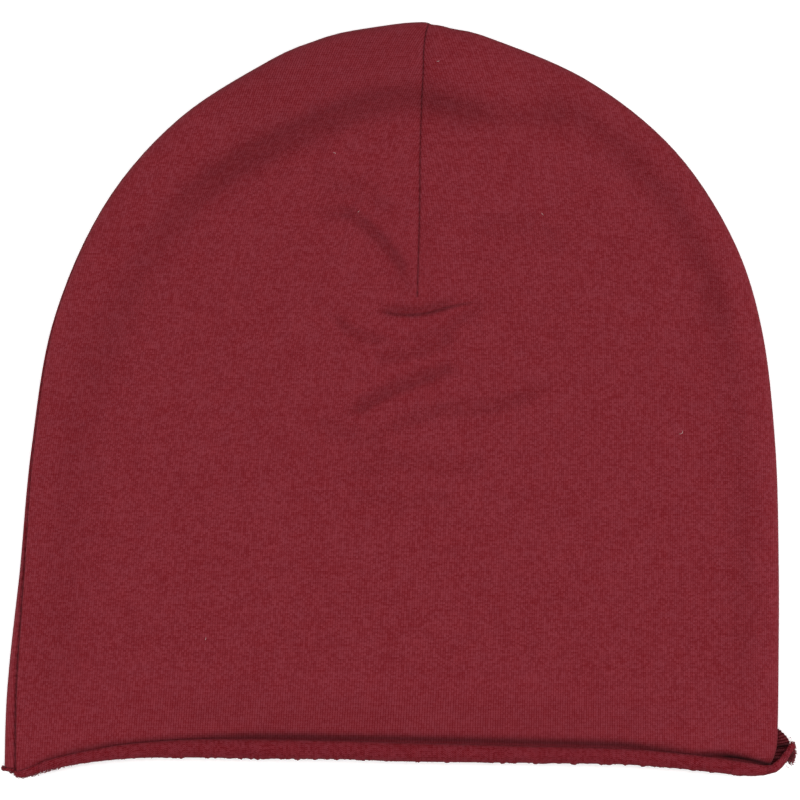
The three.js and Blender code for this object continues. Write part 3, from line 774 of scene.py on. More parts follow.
def knit_face_group():
    tree, given, result = group("knit_face", [("Place", VECTOR)], RELIEF_OUT)
    place = add(tree, "SeparateXYZ", (given["Place"],)).node
    across = calc(tree, "ABSOLUTE", calc(tree, "SUBTRACT", calc(tree, "FRACT", place.outputs[0]), 0.5))
    off_leg = calc(tree, "DIVIDE", calc(tree, "SUBTRACT", across, 0.19), 0.31)
    leg = calc(tree, "SUBTRACT", 1.0, calc(tree, "MULTIPLY", off_leg, off_leg))
    phase = calc(tree, "SUBTRACT", place.outputs[1], calc(tree, "MULTIPLY", across, 1.1))
    stitch = calc(tree, "COSINE", calc(tree, "MULTIPLY", phase, 2 * math.pi))
    leg = calc(tree, "MAXIMUM", leg, 0.0)
    height = calc(tree, "MULTIPLY", leg, calc(tree, "MULTIPLY_ADD", stitch, 0.22, 0.78))
    tree.links.new(height, result["Height"])
    tree.links.new(calc(tree, "POWER", height, 0.6), result["Shade"])
    return tree


def knit_reverse_group():
    tree, given, result = group("knit_reverse", [("Place", VECTOR)], RELIEF_OUT)
    place = add(tree, "SeparateXYZ", (given["Place"],)).node
    wave = calc(tree, "COSINE", calc(tree, "MULTIPLY", place.outputs[0], 2 * math.pi))
    phase = calc(tree, "MULTIPLY_ADD", wave, 0.24, place.outputs[1])
    ridge = calc(tree, "COSINE", calc(tree, "MULTIPLY", phase, 2 * math.pi))
    height = calc(tree, "MULTIPLY_ADD", ridge, 0.42, calc(tree, "MULTIPLY_ADD", wave, 0.08, 0.5))
    tree.links.new(height, result["Height"])
    tree.links.new(calc(tree, "POWER", height, 0.7), result["Shade"])
    return tree


knit_face, knit_reverse = knit_face_group(), knit_reverse_group()
print("groups:", knit_face.name, knit_reverse.name)

# %% [markdown]
# No two stitches take the dye and the light alike. This group gives a tone that changes from stitch to
# stitch, runs in short streaks along a course, and drifts over centimetres, as on brushed cotton.

# %% Uneven yarn
def uneven_yarn_group():
    tree, given, result = group(
        "uneven_yarn", [("Place", VECTOR), ("Stitches", FLOAT), ("Streaks", FLOAT), ("Drift", FLOAT)],
        [("Tone", FLOAT), ("Warmth", FLOAT), ("Fuzz", FLOAT)])
    across, up, _ = add(tree, "SeparateXYZ", (given["Place"],)).node.outputs
    course = calc(tree, "FLOOR", up)
    cell = add(tree, "CombineXYZ", (calc(tree, "FLOOR", across), course, 0.0))
    stitch = calc(tree, "SUBTRACT", add(tree, "TexWhiteNoise", (cell,), noise_dimensions="3D"), 0.5)
    slow, quick = calc(tree, "MULTIPLY", across, 0.08), calc(tree, "MULTIPLY", course, 2.3)
    run = add(tree, "CombineXYZ", (slow, quick, 0.0))
    streak = calc(tree, "SUBTRACT", add(tree, "TexNoise", {"Vector": run, "Scale": 1.0, "Detail": 1.0}), 0.5)
    metric = add(tree, "CombineXYZ", (across, calc(tree, "MULTIPLY", up, COURSE / WALE), 0.0))
    broad = calc(tree, "SUBTRACT", add(
        tree, "TexNoise", {"Vector": metric, "Scale": 0.055, "Detail": 3.0, "Roughness": 0.55}), 0.5)
    fuzz = calc(tree, "SUBTRACT", add(
        tree, "TexNoise", {"Vector": metric, "Scale": 3.2, "Detail": 2.0, "Roughness": 0.7}), 0.5)
    tone = calc(tree, "MULTIPLY", stitch, given["Stitches"])
    tone = calc(tree, "ADD", tone, calc(tree, "MULTIPLY", streak, given["Streaks"]))
    tone = calc(tree, "ADD", tone, calc(tree, "MULTIPLY", broad, given["Drift"]))
    tree.links.new(calc(tree, "ADD", tone, calc(tree, "MULTIPLY", fuzz, given["Stitches"])), result["Tone"])
    warm = add(tree, "TexNoise", {"Vector": metric, "Scale": 0.16, "Detail": 2.0, "Roughness": 0.6})
    tree.links.new(warm, result["Warmth"])
    tree.links.new(fuzz, result["Fuzz"])
    return tree


uneven_yarn = uneven_yarn_group()
print("group:", uneven_yarn.name)

# %% [markdown]
# Stitching draws cloth in. Beside a seam it puckers once a stitch, with shade painted into the colour
# where it dips, and the dart shows as a fine line of painted shade with a darker prick at each stitch. One
# group serves both: it takes the length along the stitching and the distance from it, in millimetres.

# %% Stitch pull
def stitch_pull_group():
    labels = ("Along", "Away", "Pitch", "Reach", "Depth", "Pricks")
    tree, given, result = group("stitch_pull", [(label, FLOAT) for label in labels], RELIEF_OUT)
    uneven = add(tree, "TexNoise", {"W": given["Along"], "Scale": 0.33, "Detail": 1.0}, noise_dimensions="1D")
    count = calc(tree, "ADD", calc(tree, "DIVIDE", given["Along"], given["Pitch"]), uneven)
    beat = calc(tree, "COSINE", calc(tree, "MULTIPLY", count, 2 * math.pi))
    beat = calc(tree, "POWER", calc(tree, "MULTIPLY_ADD", beat, 0.5, 0.5), 2.5)
    share = calc(tree, "DIVIDE", given["Away"], given["Reach"])
    near = calc(tree, "EXPONENT", calc(tree, "MULTIPLY", calc(tree, "MULTIPLY", share, share), -1.0))
    pull = calc(tree, "MULTIPLY_ADD", calc(tree, "MULTIPLY", beat, given["Pricks"]), 1.0, given["Depth"])
    # painted shade where the stitching pulls the cloth down
    dark = calc(tree, "MINIMUM", calc(tree, "MULTIPLY", near, pull), 0.9)
    tree.links.new(calc(tree, "MULTIPLY", dark, -1.0), result["Height"])
    tree.links.new(calc(tree, "SUBTRACT", 1.0, dark), result["Shade"])
    return tree


stitch_pull = stitch_pull_group()
print("group:", stitch_pull.name)

# %% [markdown]
# The jersey is cotton with a little stretch: matt, a soft bloom at grazing angles, nearly no gloss. The
# face, the reverse and the cut edge share one builder and differ in their knit group and their depth of
# colour.

# %% Jersey
DEEP, PALE = (0.124, 0.0003, 0.0026), (0.231, 0.0325, 0.0452)
STITCHING = {
    "edge": {"Pitch": 2.9, "Reach": 0.26, "Depth": 0.18, "Pricks": 0.28},
    "dart": {"Pitch": 2.8, "Reach": 0.34, "Depth": 0.42, "Pricks": 0.4},
}


def jersey_material(name, knit, deep, pale, relief, stitched=False):
    material, tree, shader = new_material(name, Roughness=0.92, Specular_IOR_Level=0.10, Sheen_Weight=0.02,
                                          Sheen_Roughness=0.5, Sheen_Tint=(1.0, 0.6, 0.6, 1))
    place = add(tree, "UVMap", uv_map="knit")
    loops = use(tree, knit, {"Place": place})
    # the first channel of this map is painted shade
    shade_share, drawn, _ = add(tree, "SeparateXYZ", (add(tree, "UVMap", uv_map="shade_and_tightness"),)).node.outputs
    yarn = use(tree, uneven_yarn, {"Place": place, "Streaks": 0.22, "Drift": 0.2,
                                   "Stitches": calc(tree, "MULTIPLY_ADD", drawn, -0.14, 0.46)})
    ribs = calc(tree, "MULTIPLY", calc(tree, "SUBTRACT", loops["Shade"], 0.68),
                calc(tree, "MULTIPLY_ADD", drawn, 0.75, 0.7))
    tone = calc(tree, "ADD", calc(tree, "ADD", ribs, 0.5), yarn["Tone"])
    height = calc(tree, "MULTIPLY_ADD", yarn["Fuzz"], 0.5, loops["Height"])
    warm = blend(tree, yarn["Warmth"], (1.03, 0.86, 0.84), (0.97, 1.12, 1.16))
    colour = blend(tree, 1.0, blend(tree, tone, deep, pale), warm, "MULTIPLY")
    if stitched:
        # painted shade: the colour darkens along folds, crevices and the rim
        colour = darkened(tree, colour, calc(tree, "SUBTRACT", 1.0, shade_share))
        for label, stitches in STITCHING.items():
            along, away, _ = add(tree, "SeparateXYZ", (add(tree, "UVMap", uv_map=label),)).node.outputs
            pull = use(tree, stitch_pull, {"Along": along, "Away": away, **stitches})
            # painted shade in the dip beside the side seam and along the dart
            colour = darkened(tree, colour, pull["Shade"])
            height = calc(tree, "MULTIPLY_ADD", pull["Height"], 1.5, height)
    tree.links.new(colour, shader.inputs["Base Color"])
    bump = add(tree, "Bump", {"Strength": relief, "Distance": 0.00018, "Height": height})
    tree.links.new(bump, shader.inputs["Normal"])
    return material


jersey = jersey_material("jersey_face", knit_face, DEEP, PALE, 0.45, stitched=True)
jersey_reverse = jersey_material("jersey_reverse", knit_reverse, tuple(c * 0.93 for c in DEEP),
                                 (PALE[0] * 0.92, PALE[1] * 0.86, PALE[2] * 0.9), 0.55)
jersey_cut = jersey_material("jersey_cut_edge", knit_reverse, tuple(c * 0.55 for c in DEEP),
                             tuple(c * 0.75 for c in PALE), 1.0)
cloth = (jersey, jersey_reverse, jersey_cut)
print("materials:", [m.name for m in cloth])

# %% [markdown]
# Now the two panels, cut and sewn from the same jersey. Each carries the count of its wales and courses,
# the ways to its two seams, how much shade is painted into its colour, and how far the cut draws its wales
# tight.

# %% Panels
def stitch_maps(lines, points, from_seam):
    """Along and away from the side seam, and along and away from the dart, in millimetres."""
    along = np.concatenate([[0], np.cumsum(np.linalg.norm(np.diff(lines[0], axis=0), axis=1))])
    edge = np.stack(np.broadcast_arrays(along[:, None], np.maximum(from_seam - 1.2, 0)), axis=-1)
    x, y = points[..., 0], points[..., 1]
    away = np.hypot(x - dart_line(y) - dart_bend(x, y), np.minimum(y - TIP[1], 0))
    return edge, np.stack([y, away], axis=-1)


def drawn_tight(x, y):
    """Where the cloth is drawn in, its wales stand out: beside the crown and above the hem."""
    crown_side = np.where(x < dart_line(y), 1.0, 0.45) * smooth(y, 70, 102)
    hem_side = smooth(-y, 72, 100) * (1 - 0.6 * smooth(np.abs(x), 62, 98))
    return np.maximum(np.maximum(crown_side, hem_side), 0.2)


def shade_and_tightness_map(points, shade_share):
    return np.stack([shade_share, drawn_tight(points[..., 0], points[..., 1])], axis=-1)


front_edge, front_dart = stitch_maps(front_lines, front_points, front_from_seam)
back_edge, back_dart = stitch_maps(back_lines, back_points, back_from_seam)
# painted shade on the front panel along folds, crevices and the rim
front_shade_share = painted_shade(front_points[..., 0], front_points[..., 1])
# painted shade on the back panel's strip beside the seam, which turns away from the light
back_shade_share = 0.20 * np.exp(-((back_from_seam / 4.5) ** 2)) * smooth(back_points[..., 1], -84, -44)
front = sheet_from("front_jersey", front_points, {
    "knit": front_knit, "edge": front_edge, "dart": front_dart,
    "shade_and_tightness": shade_and_tightness_map(front_points, front_shade_share)}, *cloth)
face_outward(front, (0, -40, 10), (0, 0, 1))
thicken(front, WALL)
back = sheet_from("back_jersey", back_points, {
    "knit": back_knit, "edge": back_edge, "dart": back_dart,
    "shade_and_tightness": shade_and_tightness_map(back_points, back_shade_share)}, *cloth)
face_outward(back, (0, -40, 0), (0, 0, -1))
thicken(back, WALL)
print("front faces", len(front.data.polygons), "back faces", len(back.data.polygons))

# %% [markdown]
# The roll is a finer sheet that starts on the panel's hem line and winds up. Its rows turn by equal
# angles, every wale ends in a small knob on its outside, and its outermost rows are a little ragged, which
# gives the edge its grain. A curve with a bevel would be quicker, but it has no cut edge inside.

# %% Rolled hems
FLARE = [  # x, y, z of the line that the roll follows once it leaves the corner
    (111.8, -110.2, 7.9), (112.9, -109.4, 7.7), (114.5, -107.9, 7.2), (115.8, -106.2, 6.7),
    (117.1, -104.5, 6.1), (118.0, -103.3, 5.7),
]


def hem_line(points, outs, knit, stop=0):
    """The panel's lower edge from its left seam to its right seam, or to a column short of it."""
    first = len(ALLOWANCE)
    return [np.concatenate([a[0, first:], a[-1, -2:first + stop - 1:-1]]) for a in (points, outs, knit)]


KNOB, LOOSE, RAGGED = 0.07, 0.08, 0.5  # heights of the wales' knobs, the looseness and the ragged rows
FLARE_WALE = 0.72
grain = np.random.default_rng(7)


def run_out(hem, flare):
    """The hem line's places, ways out, ways down and stitch counts, led on along a flare; and each x."""
    points, outs, knit = hem
    away = np.tile((0.0, -1.0, 0.0), (len(points), 1))
    at_x = points[:, 0].copy()
    if len(flare):
        line = spline(flare, 60)
        run = np.gradient(line, axis=0)
        run /= np.linalg.norm(run, axis=1, keepdims=True)
        aside = np.column_stack([run[:, 1], -run[:, 0], 0 * run[:, 0]])
        length = np.cumsum(np.linalg.norm(np.diff(np.vstack([points[-1:], line]), axis=0), axis=1))
        points, outs = np.vstack([points, line]), np.vstack([outs, np.tile((0, 0, 1.0), (len(line), 1))])
        away = np.vstack([away, aside])
        at_x = np.concatenate([at_x, at_x[-1] + length])
        knit = np.vstack([knit, knit[-1] + np.column_stack([length / FLARE_WALE, 0 * length])])
    return points, outs, away, knit, at_x


def rolled_hem(name, table, squash, hem, columns, turns, flare=()):
    """The roll as a sheet: its rows follow the hem, and each lies one turn further round than the last."""
    points, outs, away, knit, at_x = run_out(hem, flare)
    lengths = np.concatenate([[0], np.cumsum(np.linalg.norm(np.diff(points, axis=0), axis=1))])
    at = np.linspace(0, lengths[-1], columns)
    x = np.interp(at, lengths, at_x)
    points, outs, away, knit = [np.column_stack([np.interp(at, lengths, c) for c in a.T])
                                for a in (points, outs, away, knit)]
    outs /= np.linalg.norm(outs, axis=1, keepdims=True)
    away /= np.linalg.norm(away, axis=1, keepdims=True)
    path = curl_path(table, squash, x, turns)
    reach = max(out.max() for out, _ in path)
    ragged = np.maximum(np.convolve(grain.normal(0, RAGGED, columns), np.full(5, 0.2), "same"), -0.08)
    loose = [np.convolve(row, np.full(4, 0.5), "same") for row in grain.normal(0, 1, (turns + 1, columns))]
    rows, maps, last, course = [], [], points, knit[:, 1]
    for i, (out, up) in enumerate(path):
        outer = np.clip(out / reach, 0, 1) ** 3
        place = points + outs * up[:, None] + away * (out + ragged * outer)[:, None]
        course = course - np.linalg.norm(place - last, axis=1) / COURSE
        last = place
        knob = KNOB * np.cos(2 * np.pi * knit[:, 0]) + LOOSE * loose[i]
        rows.append(place + outs * (knob * min(i / 4, 1))[:, None])
        maps.append(np.column_stack([knit[:, 0], course]))
    return sheet_from(name, np.array(rows), plain_maps(np.array(maps)), *cloth)


front_hem = rolled_hem("front_hem_roll", FRONT_HEM, FRONT_SQUASH,
                       hem_line(front_points, front_outs, front_knit, stop=9), 940, 30, FLARE)
face_outward(front_hem, (0, -108, 13), (0, 1, 0))
thicken(front_hem, WALL)
back_hem = rolled_hem("back_hem_roll", BACK_HEM, BACK_SQUASH,
                      hem_line(back_points, back_outs, back_knit), 450, 20)
face_outward(back_hem, (0, -107.5, 2.5), (0, 1, 0))
thicken(back_hem, WALL)
print("hem faces", len(front_hem.data.polygons), len(back_hem.data.polygons))

# %% [markdown]
# Sewing thread and loose fibres are thin tubes. One grid makes all the tubes of a piece: each thread's
# rings are rows of it, the faces between two threads are deleted, and merging doubles closes the tubes.

# %% Threads
def threads_from(name, paths, radius, material, sides=4):
    """Thin tubes along paths in mm, pointed at both ends, as one piece."""
    rings, owner = [], []
    turn = np.linspace(0, 2 * np.pi, sides + 1)
    for k, path in enumerate(paths):
        path = np.asarray(path, float)
        run = np.gradient(path, axis=0)
        run /= np.maximum(np.linalg.norm(run, axis=1, keepdims=True), 1e-9)
        side = np.cross(run, (0.31, 0.17, 0.935))
        side /= np.maximum(np.linalg.norm(side, axis=1, keepdims=True), 1e-9)
        thick = np.full(len(path), float(radius))
        thick[[0, -1]] = 0
        around = np.cos(turn)[:, None] * side[:, None] + np.sin(turn)[:, None] * np.cross(run, side)[:, None]
        rings.append(path[:, None] + thick[:, None, None] * around)
        owner += [k] * len(path)
    places = np.concatenate(rings).reshape(-1, 3) * MM
    bm = bmesh.new()
    bmesh.ops.create_grid(bm, x_segments=sides, y_segments=len(owner) - 1, size=1)
    order = sorted(bm.verts, key=lambda v: (round(v.co.y, 6), round(v.co.x, 6)))
    of_thread = {}
    for i, vert in enumerate(order):
        vert.co = places[i]
        of_thread[vert] = owner[i // (sides + 1)]
    between = [f for f in bm.faces if len({of_thread[v] for v in f.verts}) > 1]
    bmesh.ops.delete(bm, geom=between, context="FACES")
    bmesh.ops.remove_doubles(bm, verts=bm.verts, dist=1e-6)
    bmesh.ops.recalc_face_normals(bm, faces=bm.faces)
    return object_from(bm, name, material)


def thread_material(name, deep, pale):
    """Spun thread: a twist of fibres, a little glossier than the cloth."""
    material, tree, shader = new_material(name, Roughness=0.75, Specular_IOR_Level=0.2, Sheen_Weight=0.05)
    place = add(tree, "TexCoord", out=3)
    mottle = add(tree, "TexNoise", {"Vector": place, "Scale": 2600.0, "Detail": 2.0})
    tree.links.new(blend(tree, mottle, deep, pale), shader.inputs["Base Color"])
    return material


sewing = thread_material("overlock_thread_red", (0.045, 0.0016, 0.0038), (0.17, 0.014, 0.022))
fibre = thread_material("cotton_fibre", (0.14, 0.012, 0.02), (0.30, 0.07, 0.085))
loose_yarn = thread_material("jersey_yarn", (0.12, 0.008, 0.014), (0.26, 0.04, 0.052))
lint_pale = thread_material("lint", (0.45, 0.26, 0.25), (0.75, 0.6, 0.58))
print("thread materials:", sewing.name, fibre.name, lint_pale.name)

# %% [markdown]
# Inside, the two allowances lie together and are overlocked: a needle thread runs along them, and two
# looper threads zigzag from it round the cut edges. The zigzags are walked along the seam's own frame.

# %% Side seam's threads
STITCH = 2.6
NEEDLE_AT, EDGE_AT, PLIES_HALF = 3.0, 7.5, 0.98


def seam_frames(lines, pitch):
    """Evenly along the seam: its place, the way into the hat and the way across the plies."""
    turn = seam_turn(True, lines)
    here, along, out = (a[:, 0] for a in shoulder_point(True, lines, turn))
    length = np.concatenate([[0], np.cumsum(np.linalg.norm(np.diff(here, axis=0), axis=1))])
    at = np.arange(0.6, length[-1] - 0.6, pitch)
    frames = [np.column_stack([np.interp(at, length, c) for c in a.T]) for a in (here, -out, along)]
    return [frames[0]] + [f / np.linalg.norm(f, axis=1, keepdims=True) for f in frames[1:]]


def looper(frames, side):
    """One looper thread: from the needle's line to the cut edge and back, on one side of the plies."""
    here, inward, across = frames
    middle = (NEEDLE_AT + EDGE_AT) / 2
    depth = np.choose(np.arange(len(here)) % 4, [NEEDLE_AT, middle, EDGE_AT, middle])
    height = np.where(depth == EDGE_AT, 0.25, PLIES_HALF) * side
    return here + inward * depth[:, None] + across * height[:, None]


def needle_line(frames, side):
    here, inward, across = frames
    height = (PLIES_HALF + 0.06 * np.cos(np.arange(len(here)) * np.pi / 2)) * side
    return here + inward * NEEDLE_AT + across * height[:, None]


fine_frames = seam_frames(front_lines, STITCH / 4)
overlock_paths = [walk(fine_frames, side) for walk in (looper, needle_line) for side in (1, -1)]
overlock = threads_from("side_seam_overlock", overlock_paths, 0.13, sewing)


def seam_ladder(frames):
    """The stitches that show between the two edges when the seam is drawn open a little."""
    rungs = []
    for here, inward, across in zip(*frames):
        rungs.append([here + inward * (0.3 + 0.5 * t * t) + across * t for t in (-0.6, -0.3, 0.0, 0.3, 0.6)])
    return rungs


ladder = threads_from("side_seam_stitches", seam_ladder(seam_frames(front_lines, 1.1)), 0.12, sewing)
print("overlock faces:", len(overlock.data.polygons), " ladder faces:", len(ladder.data.polygons))

# %% [markdown]
# Each dart's wedge is folded under the panel and overlocked too. It is a hairpin of cloth that grows from
# nothing at the dart's tip, with its own looper thread along the raw edges.

# %% Dart allowances
DART_WIDTH, DART_PLY = 5.4, 0.86


def dart_allowance(name, front, side):
    """The folded wedge of one dart and its thread: the side is -1 when it is laid to the left."""
    y = np.linspace(TIP[1] + 1.5, crown[1] - 11, 70)
    width = DART_WIDTH * smooth(y, TIP[1], TIP[1] + 26) + 0.8
    line = dart_line(y) + read(DART_BEND, y)
    if front:
        level = front_face(line + side * 2, y, np.full(y.shape, WELL_INSIDE)) - WALL - 1.5
    else:
        level = back_face(line + side * 2, y) + WALL + 0.6 + DART_PLY
    across = (1.0, 0.66, 0.33, 0.08)
    section = [(a, 0.0) for a in across] + [(0.0, -0.2), (0.0, -0.66)]
    section += [(a, -DART_PLY) for a in across[::-1]]
    places = np.array([np.column_stack([line + side * width * a, y, level + b]) for a, b in section])
    wale = np.array([[a * DART_WIDTH / WALE for a, _ in section]] * len(y)).T
    course = np.array([y / COURSE] * len(section))
    made = sheet_from(name, places, plain_maps(np.stack([wale, course], axis=-1)), *cloth)
    face_outward(made, (line[30] + side * 2, y[30], level[30] + 1), (0, 0, 1))
    thicken(made, WALL * 0.9)
    fine = np.linspace(y[0] + 1, y[-1] - 0.5, 200)
    beat = np.arange(len(fine)) % 4
    reach = np.where(beat == 0, 0.35, np.where(beat == 2, 1.06, 0.75))
    edge = np.interp(fine, y, width)
    top = np.interp(fine, y, level)
    centre = dart_line(fine) + read(DART_BEND, fine)
    paths = [np.column_stack([centre + side * edge * reach, fine, top + np.where(beat == 2, -0.43, lift)])
             for lift in (0.5, -1.36)]
    return made, threads_from(name + "_overlock", paths, 0.12, sewing)


front_dart_piece, front_dart_thread = dart_allowance("front_dart_allowance", True, -1)
back_dart_piece, back_dart_thread = dart_allowance("back_dart_allowance", False, 1)
print("dart allowances:", [o.name for o in (front_dart_piece, back_dart_piece)])

# %% [markdown]
# At the right corner the seam's end has curled open: the back panel's edge stands out as a small pleated
# fan, with the front roll swinging out in front of it. The fan is a grid between two lines. A short table
# pleats it and a cosine ribs it. It lies in shadow, so its jersey is a darker copy, and its map paints
# more shadow into its notch, its pocket, its lower end and along its inner side.

# %% Corner fan
FAN_INNER = [
    (112.9, -98.5, 4.7), (112.8, -101.5, 4.6), (112.2, -104.3, 4.5), (111.5, -106.8, 4.6),
    (110.5, -109.6, 4.9),
]
FAN_OUTER = [
    (113.7, -98.9, 5.2), (114.9, -99.9, 5.8), (115.8, -100.7, 6.0), (116.5, -101.6, 5.8),
    (117.1, -102.7, 5.0), (117.3, -104.0, 3.2), (117.0, -105.5, 2.8), (116.2, -107.3, 3.0),
    (114.9, -109.0, 3.2), (112.8, -110.4, 3.8),
]
PLEATS = [  # share of the way down, height
    (0, 0.5), (0.2, 0.9), (0.34, 0.5), (0.42, -1.4), (0.5, -1.2), (0.57, 0.7), (0.68, 0.9), (0.76, -0.9),
    (0.86, -1.2), (1.0, 0.0),
]


def corner_fan():
    rows, columns, ribs_down, fine = 120, 16, 15, 399
    v, u = np.linspace(0, 1, rows)[:, None], np.linspace(0, 1, columns)[None, :]
    inner, outer = spline(FAN_INNER, fine + 1), spline(FAN_OUTER, rows)
    inner = inner[(fine * v[:, 0] ** 0.75).astype(int)]
    places = inner[:, None] + (outer - inner)[:, None] * u[..., None]
    bulge = np.sin(np.pi * np.clip(u, 0, 0.9) ** 0.8)
    ribs = np.cos(2 * np.pi * ribs_down * v)
    places[..., 2] += read(PLEATS, v) * bulge + 0.25 * ribs * np.sin(np.pi * u) ** 0.3
    places[..., :2] += 0.16 * (ribs * (u > 0.9))[..., None] * np.array([0.8, 0.6])
    maps = np.stack(np.broadcast_arrays(v * ribs_down, u * 8), axis=-1)
    # painted shadow in the notch, the pocket, the lower end and along the inner side
    notch = 0.75 * np.exp(-(((v - 0.44 - 0.04 * u) / 0.035) ** 2))
    pocket = 0.6 * np.exp(-(((v - 0.62) / 0.07) ** 2)) * u
    deep = notch + pocket + 0.45 * np.exp(-(((v - 0.9) / 0.1) ** 2)) + 0.35 * (1 - smooth(u, 0, 0.3))
    shade_and_tightness = np.stack(np.broadcast_arrays(np.clip(deep, 0, 0.85), 1.6), axis=-1)
    return sheet_from("corner_fan", places, plain_maps(maps, shade_and_tightness), shadowed_fan_cloth, shadowed_fan_cloth, jersey_cut)


# a darker copy of the jersey: painted shadow, as the fan lies in shade
shadowed_fan_cloth = jersey_material("jersey_painted_shadow", knit_face, tuple(c * 0.3 for c in DEEP),
                            tuple(c * 0.72 for c in PALE), 1.0, stitched=True)
fan = corner_fan()
face_outward(fan, (115, -100.5, 7), (0, 0, 1))
thicken(fan, 0.6)
print("fan faces:", len(fan.data.polygons))

# %% [markdown]
# Where an overlock runs off the cloth it leaves a chain, and here it has been cut and has frayed, and the
# jersey's own yarn with it. Short random loops round a line make the tangle, from a fixed seed, so that
# they are the same each time.

# %% Frayed ends
fray = np.random.default_rng(11)


def tangle(count, spread, size, line):
    """Loops of thread scattered round a line."""
    line = spline(line, 100)
    loops = []
    for _ in range(count):
        centre = line[fray.integers(0, 100)] + fray.normal(0, 1, 3) * spread
        axis_a, axis_b = fray.normal(0, 1, (2, 3))
        axis_a /= np.linalg.norm(axis_a)
        axis_b -= axis_a * (axis_a @ axis_b)
        axis_b /= np.linalg.norm(axis_b)
        reach, start = fray.uniform(*size), fray.uniform(0, 6)
        turn = start + np.linspace(0, fray.uniform(2.2, 4.4), 9)
        loops.append(centre + reach * (np.cos(turn)[:, None] * axis_a + 0.7 * np.sin(turn)[:, None] * axis_b))
    for loop in loops:
        loop[:, 2] = np.maximum(loop[:, 2], 0.35)
    return loops


THREAD_TANGLES = [  # loops, scatter along x, y and z, least and largest loop, line through the tangle
    (260, (0.32, 0.4, 0.5), (0.2, 0.5), [(118.2, -105.4, 5.0), (118.1, -106.4, 4.6), (117.7, -107.5, 4.2),
                                         (117.4, -108.4, 3.9)]),
    (80, (0.3, 0.3, 0.4), (0.2, 0.45), [(116.3, -107.5, 4.6), (116.8, -108.4, 4.2)]),
    (50, (0.15, 0.3, 0.3), (0.2, 0.4), [(-115.6, -109.5, 6.4), (-115.4, -111.0, 6.2),
                                        (-114.6, -111.8, 6.2)]),
]
YARN_TANGLES = [
    (90, (0.16, 0.3, 0.3), (0.2, 0.42), [(118.5, -105.2, 5.6), (118.8, -106.6, 5.2), (118.7, -107.6, 4.8),
                                         (118.2, -108.6, 4.4), (117.4, -109.0, 4.2)]),
    (60, (0.1, 0.15, 0.3), (0.15, 0.32), [(117.6, -102.8, 6.4), (118.5, -103.2, 6.0),
                                          (118.9, -104.6, 5.6)]),
    (120, (0.18, 0.22, 0.3), (0.2, 0.45), [(-119.0, -110.2, 6.4), (-118.5, -110.8, 6.2),
                                           (-117.6, -110.9, 6.4)]),
    (110, (0.2, 0.18, 0.3), (0.2, 0.45), [(-117.4, -111.2, 6.4), (-116.4, -111.4, 6.6),
                                          (-115.4, -111.9, 7.0), (-114.2, -112.8, 7.4)]),
    (190, (0.2, 0.12, 0.5), (0.12, 0.32), [(-115.3, -112.4, 7.4), (-113.4, -113.0, 8.0),
                                           (-110.5, -112.5, 8.4), (-106.5, -111.4, 9.0),
                                           (-102.0, -110.2, 9.4)]),
]
thread_loops = [loop for row in THREAD_TANGLES for loop in tangle(*row)]
corner_threads = threads_from("corner_overlock_tangles", thread_loops, 0.12, sewing)
yarn_loops = [loop for row in YARN_TANGLES for loop in tangle(*row)]
frayed_yarn = threads_from("frayed_yarn", yarn_loops, 0.11, loose_yarn)
wisps = [spline(p, 14) for p in (
    [(118.4, -104.8, 5.2), (119.0, -104.9, 5.0), (119.4, -104.6, 4.6)],
    [(118.2, -108.8, 4.0), (118.9, -109.2, 3.6), (119.3, -109.0, 3.2)],
    [(116.4, -109.9, 3.6), (116.7, -110.4, 3.2), (117.3, -110.8, 3.0)],
    [(117.0, -101.6, 6.0), (117.5, -101.3, 6.2), (117.6, -101.8, 6.4)],
    [(-115.8, -112.0, 6.6), (-115.2, -113.0, 5.8), (-114.5, -113.7, 5.2), (-113.9, -113.3, 5.4),
     (-114.2, -112.6, 6.2)],
    [(-113.8, -112.9, 6.8), (-113.2, -113.7, 5.6), (-112.4, -113.4, 5.4), (-112.8, -112.8, 6.2)],
    [(-110.4, -112.3, 8.0), (-109.6, -112.9, 7.6), (-109.0, -112.4, 7.8)],
    [(-117.6, -111.3, 6.0), (-117.1, -111.9, 5.6), (-116.4, -112.2, 5.4)],
)]
loose_ends = threads_from("loose_thread_ends", wisps, 0.07, fibre)
print("tangled loops:", len(thread_loops) + len(yarn_loops))

# %% [markdown]
# A raw cotton edge sheds: short fibres stand off the roll, thickest at its ends, and a few flecks of lint
# lie on the front. Each is a thread like the others, only thinner.

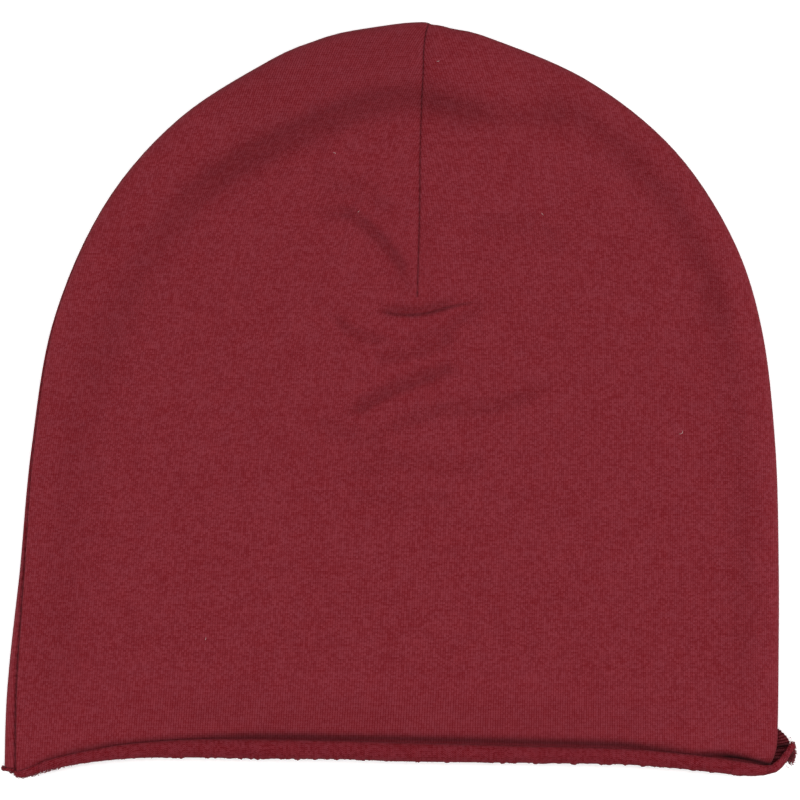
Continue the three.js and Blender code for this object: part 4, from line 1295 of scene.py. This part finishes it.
# %% Fibres and lint
def hem_fibres(count):
    """Short fibres along the front roll's lower side."""
    paths = []
    for _ in range(count):
        x = fray.uniform(-117, 112) if fray.random() < 0.6 else fray.uniform(-117, -98)
        x = min(x, 111)
        radius = float(hem_column(FRONT_HEM, 2, x)) * 0.95
        angle = fray.uniform(0.7, 2.3)
        hem = float(hem_column(FRONT_HEM, 1, x))
        face = front_face(np.array([x]), np.array([hem + 0.2]), np.array([WELL_INSIDE]))[0]
        start = np.array([x, hem - (radius + 0.3) * math.sin(angle),
                          face - WALL / 2 + radius * (1 - math.cos(angle)) * 0.82])
        way = np.array([fray.normal(0, 0.7), -abs(fray.normal(0.8, 0.3)), fray.normal(0, 0.3)])
        bend = fray.normal(0, 0.35, 3)
        t = np.linspace(0, fray.uniform(0.3, 0.75), 6)[:, None]
        paths.append(start + way * t + bend * t * t)
    return paths


fuzz = threads_from("hem_fibres", hem_fibres(420), 0.035, fibre, sides=3)
LINT = [
    ((11.6, 101.4), 0.25), ((-12.3, 56.3), 0.9), ((42.8, 55.7), 2.4), ((84.2, -10.1), 0.4),
    ((84.7, -9.6), 1.5), ((-19.4, 74.0), 2.8), ((-58.0, -71.5), 1.2),
]


def fleck(place, lean):
    x, y = place
    t = np.linspace(-0.5, 0.5, 7)
    bow = 0.5 * t * t
    xs = x + np.cos(lean) * t - np.sin(lean) * bow
    ys = y + np.sin(lean) * t + np.cos(lean) * bow
    zs = front_face(xs, ys, np.full(t.shape, WELL_INSIDE)) + 0.04 + 0.1 * (0.25 - t * t)
    return np.column_stack([xs, ys, zs])


lint = threads_from("lint", [fleck(*speck) for speck in LINT], 0.05, lint_pale)
print("fibres:", len(fuzz.data.polygons), "faces; lint:", len(lint.data.polygons))

# %% [markdown]
# Last, every piece is attached to one body, with the cloth and the thread listed apart, and the imported
# parts that the new pieces stand for are hidden.

# %% Declarations
in_jersey = [front, back, front_hem, back_hem, front_dart_piece, back_dart_piece, fan]
in_thread = [overlock, ladder, front_dart_thread, back_dart_thread, corner_threads, frayed_yarn, loose_ends,
             fuzz, lint]
for piece in in_jersey + in_thread:
    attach(piece, "root")
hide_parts("front_panel")
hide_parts("back_panel")
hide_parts("side_seam")
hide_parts("front_dart_seam")
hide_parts("back_dart_seam")
